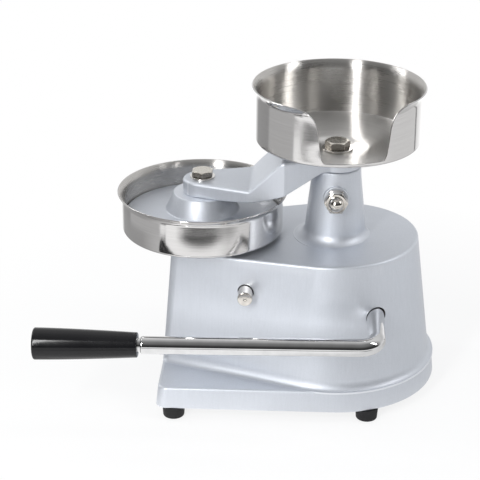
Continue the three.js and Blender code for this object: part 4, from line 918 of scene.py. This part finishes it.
def build_shafts():
    back, front, edge = -50, 67.4, 0.8
    profile = [(0, back), (6, back), (6, front - 1)] + arc(6 - edge, front - edge, edge, 0, 90, 4)
    profile += [(1.6, front), (0, front - 1.5)]
    shaft = turned("lift_shaft_bar", profile, 64, LIFT_AT, "-Y")
    piece(shaft, "lift", BRIGHT_NICKEL, ["lift_shaft"])
    low, shoulder, top, spigot_top = 59.4, 76.1, COLUMN_TOP, 203.2
    press = turned("press_shaft_bar", [
        (0, low), (7, low), (7, shoulder), (11.4, shoulder), (12, shoulder + 0.7),
        (12, top - 0.6), (11.4, top), (8, top), (8, spigot_top), (0, spigot_top)], 64)
    slot = prism("slot", [(-4.2, -8.2), (4.2, -8.2), (4.2, -14), (-4.2, -14)], 125.6, 173.7)
    combine(press, slot, "DIFFERENCE")
    combine(press, rod("shaft_hole", BOLT_BORE, 167, 210), "DIFFERENCE")
    combine(press, rod("end_hole", 4.1, 50, 78), "DIFFERENCE")
    piece(press, "press", STEEL, ["press_shaft"], 30, True)


# ---------------------------------------------------------------- lever

DROOP = math.radians(1.02)
LEVER_X = 33.7
BAR_RADIUS = 7.0
BAR_BEND = 14.0
BAR_Y = -119.9
BAR_BACK_END = 55
NECK_RADIUS = 5.6
GRIP_START = 183.7
GRIP_LENGTH = 81.6
GRIP_INNER = 9.9
GRIP_OUTER = 12.5
# An extra ring this far from a bend or an edge keeps the straight lengths evenly shaded.
SUPPORT = 0.6


def drooped(obj):
    """Turns a lever piece, built level, about the lever's axis."""
    pivot = Matrix.Translation((AXIS_X + LEVER_X * MM, 0, LEVER_HEIGHT * MM))
    obj.data.transform(pivot @ Matrix.Rotation(-DROOP, 4, "Y") @ pivot.inverted())
    return obj


def bar_path():
    """Places along the bar with its direction in plan and its radius there."""
    forward, sideways = (0, -1), (-1, 0)
    path = [((LEVER_X, BAR_BACK_END), forward, BAR_RADIUS),
            ((LEVER_X, BAR_Y + BAR_BEND + SUPPORT), forward, BAR_RADIUS)]
    for s, c in quarter(24):
        path.append(((LEVER_X + BAR_BEND * (c - 1), BAR_Y + BAR_BEND * (1 - s)), (-s, -c),
                     BAR_RADIUS))
    path.append(((LEVER_X - BAR_BEND - SUPPORT, BAR_Y), sideways, BAR_RADIUS))
    chamfered_end = [(-2.5 - 2 * SUPPORT, BAR_RADIUS), (-2.5 - SUPPORT, BAR_RADIUS),
                     (-2.5, BAR_RADIUS - 0.1), (-2.1, BAR_RADIUS - 0.5)]
    neck = [(-2.05, NECK_RADIUS), (1.2, NECK_RADIUS)]
    tang = [(1.25, BAR_RADIUS), (40, BAR_RADIUS)]
    for away, radius in chamfered_end + neck + tang:
        path.append(((LEVER_X - GRIP_START - away, BAR_Y), sideways, radius))
    return path


def build_lever():
    rings = []
    for (x, y), (dx, dy), radius in bar_path():
        rings.append([(x - dy * side, y + dx * side, LEVER_HEIGHT + rise)
                      for side, rise in arc(0, 0, radius, 0, 360, 48)[:-1]])
    bar = drooped(skin("lever_bar_tube", rings))
    piece(bar, "lever", CHROME, ["lever_bar"], 40)

    socket, recess = BAR_RADIUS + 0.1, NECK_RADIUS + 0.3
    profile = [(0, 40), (socket, 40), (socket, 1.3), (recess, 1.3), (recess, 0.5),
               (GRIP_INNER - 1.0, 0.5)]
    profile += arc(GRIP_INNER - 1.0, 1.5, 1.0, 270, 355, 5)
    for i in range(15):
        s = i / 14
        swell = GRIP_INNER + (GRIP_OUTER - GRIP_INNER) * (1 - (1 - s) ** 1.5)
        profile.append((swell, 3.2 + (GRIP_LENGTH - 5.0) * s))
    profile += arc(GRIP_OUTER - 1.4, GRIP_LENGTH - 1.5, 1.4, 4, 80, 6)
    profile += [(GRIP_OUTER - 5, GRIP_LENGTH - 0.05), (5.5, GRIP_LENGTH),
                (4.6, GRIP_LENGTH - 0.4), (0, GRIP_LENGTH - 0.4)]
    grip = drooped(turned("lever_grip_moulding", profile, 96,
                          (LEVER_X - GRIP_START, BAR_Y, LEVER_HEIGHT), "-X"))
    piece(grip, "lever", GRIP, ["lever_grip"], 36)


# ---------------------------------------------------------------- stage

BRIGHTEST = 4.0
TABLE_SIZE = 4.0
TABLE_CELLS = 8
TABLE_TOP = -0.0002
TABLE_WHITE = (0.86, 0.86, 0.86, 1)


def bearing_of(tree, x, y):
    """Degrees round the vertical: 0 towards the camera, positive to the right."""
    turn = math_node(tree, "ARCTAN2", x, math_node(tree, "MULTIPLY", y, -1))
    return math_node(tree, "MULTIPLY", turn, 180 / math.pi)


def levels(tree, value, low, high, stops):
    """Brightness that follows a value through (value, brightness) stops."""
    ramp = tree.nodes.new("ShaderNodeValToRGB")
    elements = ramp.color_ramp.elements
    while len(elements) < len(stops):
        elements.new(0.5)
    for element, (at, _) in zip(elements, stops):
        element.position = (at - low) / (high - low)
    for element, (_, brightness) in zip(elements, stops):
        element.color = (*[brightness / BRIGHTEST] * 3, 1)
    tree.links.new(spread(tree, value, 0, 1, low, high), ramp.inputs["Fac"])
    return math_node(tree, "MULTIPLY", ramp.outputs["Color"], BRIGHTEST)


def ray_kinds(tree):
    """1 on what the camera sees itself, and 1 on what polished metal or glass shows of it."""
    path = tree.nodes.new("ShaderNodeLightPath").outputs
    return path["Is Camera Ray"], math_node(tree, "MAXIMUM", path["Is Glossy Ray"],
                                            path["Is Transmission Ray"])


def table_reflection(tree, x, y, far):
    """What polished metal sees of the table: its far ends, a dark room in front, dark stands and a
    patch of painted shade.

    Near the press the bearing counts from the forming bowl's axis, further out from the column's.
    """
    from_bowl = math_node(tree, "SUBTRACT", x, BOWL_X * MM)
    near_turn = bearing_of(tree, from_bowl, y)
    near = levels(tree, near_turn, -180, 180, [
        (-170, 1.2), (-152, 0.95), (-138, 0.42), (-84, 0.44), (-64, 0.62), (-47.4, 0.72),
        (-46.8, 0.15), (-45.6, 0.15), (-45.0, 1.25), (22, 1.2), (38, 0.95), (60, 0.90),
        (76, 0.82), (100, 0.70), (125, 0.70), (150, 0.9), (172, 1.2)])
    beyond = levels(tree, bearing_of(tree, x, y), -180, 180, [
        (-172, 1.3), (-158, 1.0), (-144, 0.40), (-110, 0.40), (-106, 0.58), (-64, 0.60),
        (-62, 0.60), (-60, 1.25), (30, 1.2), (80, 0.88), (127, 0.84), (128.5, 0.06),
        (130, 0.06), (131.5, 1.0), (150, 1.2), (172, 1.3)])
    corner = weighed(tree, (x, -0.888), (y, -0.459))
    past_corner = spread(tree, corner, 0, 1, 0.712, 0.728)
    beyond = mixed(tree, past_corner, beyond, math_node(tree, "MINIMUM", beyond, 0.62))

    def oval(centre, half_length, half_width, turn):
        """Grows from 0 at the middle of an oval patch on the table to 1 on its edge."""
        c, s = math.cos(math.radians(turn)), math.sin(math.radians(turn))
        dx = math_node(tree, "SUBTRACT", x, centre[0] * MM)
        dy = math_node(tree, "SUBTRACT", y, centre[1] * MM)
        along = weighed(tree, (dx, c / half_length / MM), (dy, s / half_length / MM))
        across = weighed(tree, (dy, c / half_width / MM), (dx, -s / half_width / MM))
        return sum_of_squares(tree, along, across)

    def offset(value, middle, half):
        return math_node(tree, "MULTIPLY", math_node(tree, "SUBTRACT", value, middle), 1 / half)

    # The camera's stand, a patch 30 degrees to each side of the bowl's front
    near_far = math_node(tree, "SQRT", sum_of_squares(tree, from_bowl, y))
    past = sum_of_squares(tree, offset(near_turn, 0.6, 30), offset(near_far, 0.402, 0.056))
    near = math_node(tree, "MULTIPLY", near, spread(tree, past, 0.10, 1.0, 0.42, 1.2))
    lamp_stand = spread(tree, oval((-446, -531), 155, 62, -42), 0.12, 1.0, 0.45, 1.3)
    beyond = math_node(tree, "MULTIPLY", beyond, lamp_stand)
    # A dark patch that polished metal sees on the table: painted shade on the arm's side and the
    # forming bowl's right.
    shade_patch = spread(tree, oval((235, -425), 200, 150, 0), 0.40, 1.0, 0.3, 1.3)
    further = spread(tree, far, 0, 1, 0.47, 0.50)
    return math_node(tree, "MULTIPLY", shade_patch, mixed(tree, further, near, beyond))


def build_floor():
    """A white table that keeps the shadow and turns even white for the camera away from it."""
    mesh = bpy.data.meshes.new("floor_sheet")
    points, faces = [], []
    for i in range(TABLE_CELLS + 1):
        for j in range(TABLE_CELLS + 1):
            points.append(((i / TABLE_CELLS - 0.5) * TABLE_SIZE,
                           (j / TABLE_CELLS - 0.5) * TABLE_SIZE, TABLE_TOP))
    row = TABLE_CELLS + 1
    for i in range(TABLE_CELLS):
        for j in range(TABLE_CELLS):
            a = i * row + j
            faces.append((a, a + row, a + row + 1, a + 1))
    mesh.from_pydata(points, [], faces)
    floor = bpy.data.objects.new("floor_sheet", mesh)
    bpy.context.scene.collection.objects.link(floor)
    material, tree, shader, coords = new_material("floor_white")
    tree.nodes.remove(shader)
    matt = tree.nodes.new("ShaderNodeBsdfDiffuse")
    matt.inputs["Color"].default_value = TABLE_WHITE
    place = split_xyz(tree, coords)
    x = math_node(tree, "SUBTRACT", place["X"], AXIS_X)
    y = math_node(tree, "SUBTRACT", place["Y"], AXIS_Y)
    far = math_node(tree, "SQRT", sum_of_squares(tree, x, y))
    camera_ray, polished_ray = ray_kinds(tree)
    white = tree.nodes.new("ShaderNodeEmission")
    tree.links.new(mixed(tree, polished_ray, 1.0, table_reflection(tree, x, y, far)),
                   white.inputs["Strength"])
    seen = math_node(tree, "MULTIPLY", camera_ray, spread(tree, far, 0.80, 1.0, 0.18, 0.40))
    mix = tree.nodes.new("ShaderNodeMixShader")
    tree.links.new(math_node(tree, "ADD", seen, polished_ray), mix.inputs["Fac"])
    tree.links.new(matt.outputs[0], mix.inputs[1])
    tree.links.new(white.outputs[0], mix.inputs[2])
    tree.links.new(mix.outputs[0], tree.nodes["Material Output"].inputs["Surface"])
    floor.data.materials.append(material)


def build_world():
    """White for the camera. Metal sees a white wall behind and a dark room in front."""
    world = bpy.data.worlds.new("studio")
    bpy.context.scene.world = world
    world.use_nodes = True
    tree = world.node_tree
    plain = tree.nodes["Background"]
    ahead = split_xyz(tree, tree.nodes.new("ShaderNodeTexCoord").outputs["Generated"])
    height = math_node(tree, "MULTIPLY", math_node(tree, "ARCSINE", ahead["Z"]), 180 / math.pi)
    front = levels(tree, height, -10, 90, [
        (-4, 0.9), (0, 0.05), (16, 0.04), (28, 0.10), (42, 0.20), (64, 0.27), (80, 0.44),
        (90, 0.60)])
    back = levels(tree, height, -10, 90, [
        (-4, 1.1), (4, 0.95), (12, 0.78), (22, 0.72), (46, 0.82), (66, 0.88), (90, 0.60)])
    room = mixed(tree, spread(tree, ahead["Y"], 0, 1, -0.15, 0.35), front, back)
    camera_ray, polished_ray = ray_kinds(tree)
    ambient = blend_colours(tree, polished_ray, (0.66, 0.67, 0.69), room)
    tree.links.new(blend_colours(tree, camera_ray, ambient, (1, 1, 1)), plain.inputs["Color"])


# Softboxes: bearing and height in degrees, power in watts, width and height in metres
LAMP_DISTANCE = 1.35
LAMP_AIM = Vector((AXIS_X - 0.04, AXIS_Y, 0.14))
LAMPS = {
    "key_low": (-24, 18, 5.6, 0.15, 0.50),
    "key_high": (-24, 34, 5.4, 0.15, 0.46),
    "side_left": (-104, 36, 2.4, 0.13, 0.80),
    "side_right": (78, 36, 4.0, 0.17, 0.80),
}


def build_lamps():
    for name, (bearing, height, power, width, tall) in LAMPS.items():
        a, e = math.radians(bearing), math.radians(height)
        away = Vector((math.cos(e) * math.sin(a), -math.cos(e) * math.cos(a), math.sin(e)))
        data = bpy.data.lights.new(name, "AREA")
        data.shape = "RECTANGLE"
        data.size, data.size_y = width, tall
        data.energy = power
        obj = bpy.data.objects.new(name, data)
        obj.location = LAMP_AIM + LAMP_DISTANCE * away
        obj.rotation_euler = (-away).to_track_quat("-Z", "Y").to_euler()
        bpy.context.scene.collection.objects.link(obj)


# The camera, solved from the photograph: place in millimetres, angles in radians
CAMERA_AT = (-16.34, -1173.08, 641.69)
YAW, PITCH, ROLL = 0.05269, -0.41659, 0.00561
LENS = 116.09
SENSOR = 36.0


def build_camera():
    data = bpy.data.cameras.new("camera")
    data.lens = LENS
    data.sensor_width = SENSOR
    data.sensor_fit = "HORIZONTAL"
    data.clip_start, data.clip_end = 0.05, 20
    ahead = Vector((-math.sin(YAW), math.cos(YAW), 0))
    side = Vector((math.cos(YAW), math.sin(YAW), 0))
    vertical = Vector((0, 0, 1))
    view = ahead * math.cos(PITCH) + vertical * math.sin(PITCH)
    up = vertical * math.cos(PITCH) - ahead * math.sin(PITCH)
    right = side * math.cos(ROLL) + up * math.sin(ROLL)
    above = up * math.cos(ROLL) - side * math.sin(ROLL)
    turn = Matrix((right, above, -view)).transposed().to_4x4()
    obj = bpy.data.objects.new("camera", data)
    obj.matrix_world = Matrix.Translation(to_frame(CAMERA_AT)) @ turn
    bpy.context.scene.collection.objects.link(obj)
    bpy.context.scene.camera = obj


def dress_inner_nodes():
    slots = {entry["node"]: entry["material_slot"] for entry in frame["record"]["subparts"]}
    for name, obj in frame["nodes"].items():
        obj.data.materials.clear()
        obj.data.materials.append(SLOT_MATERIALS[slots[name]])


dress_inner_nodes()
build_housing()
build_feet()
build_forming_bowl()
build_paper_bowl()
build_arm()
build_disc()
build_fasteners()
build_shafts()
build_lever()
build_floor()
build_world()
build_lamps()
build_camera()
bpy.context.scene.view_settings.view_transform = "Standard"
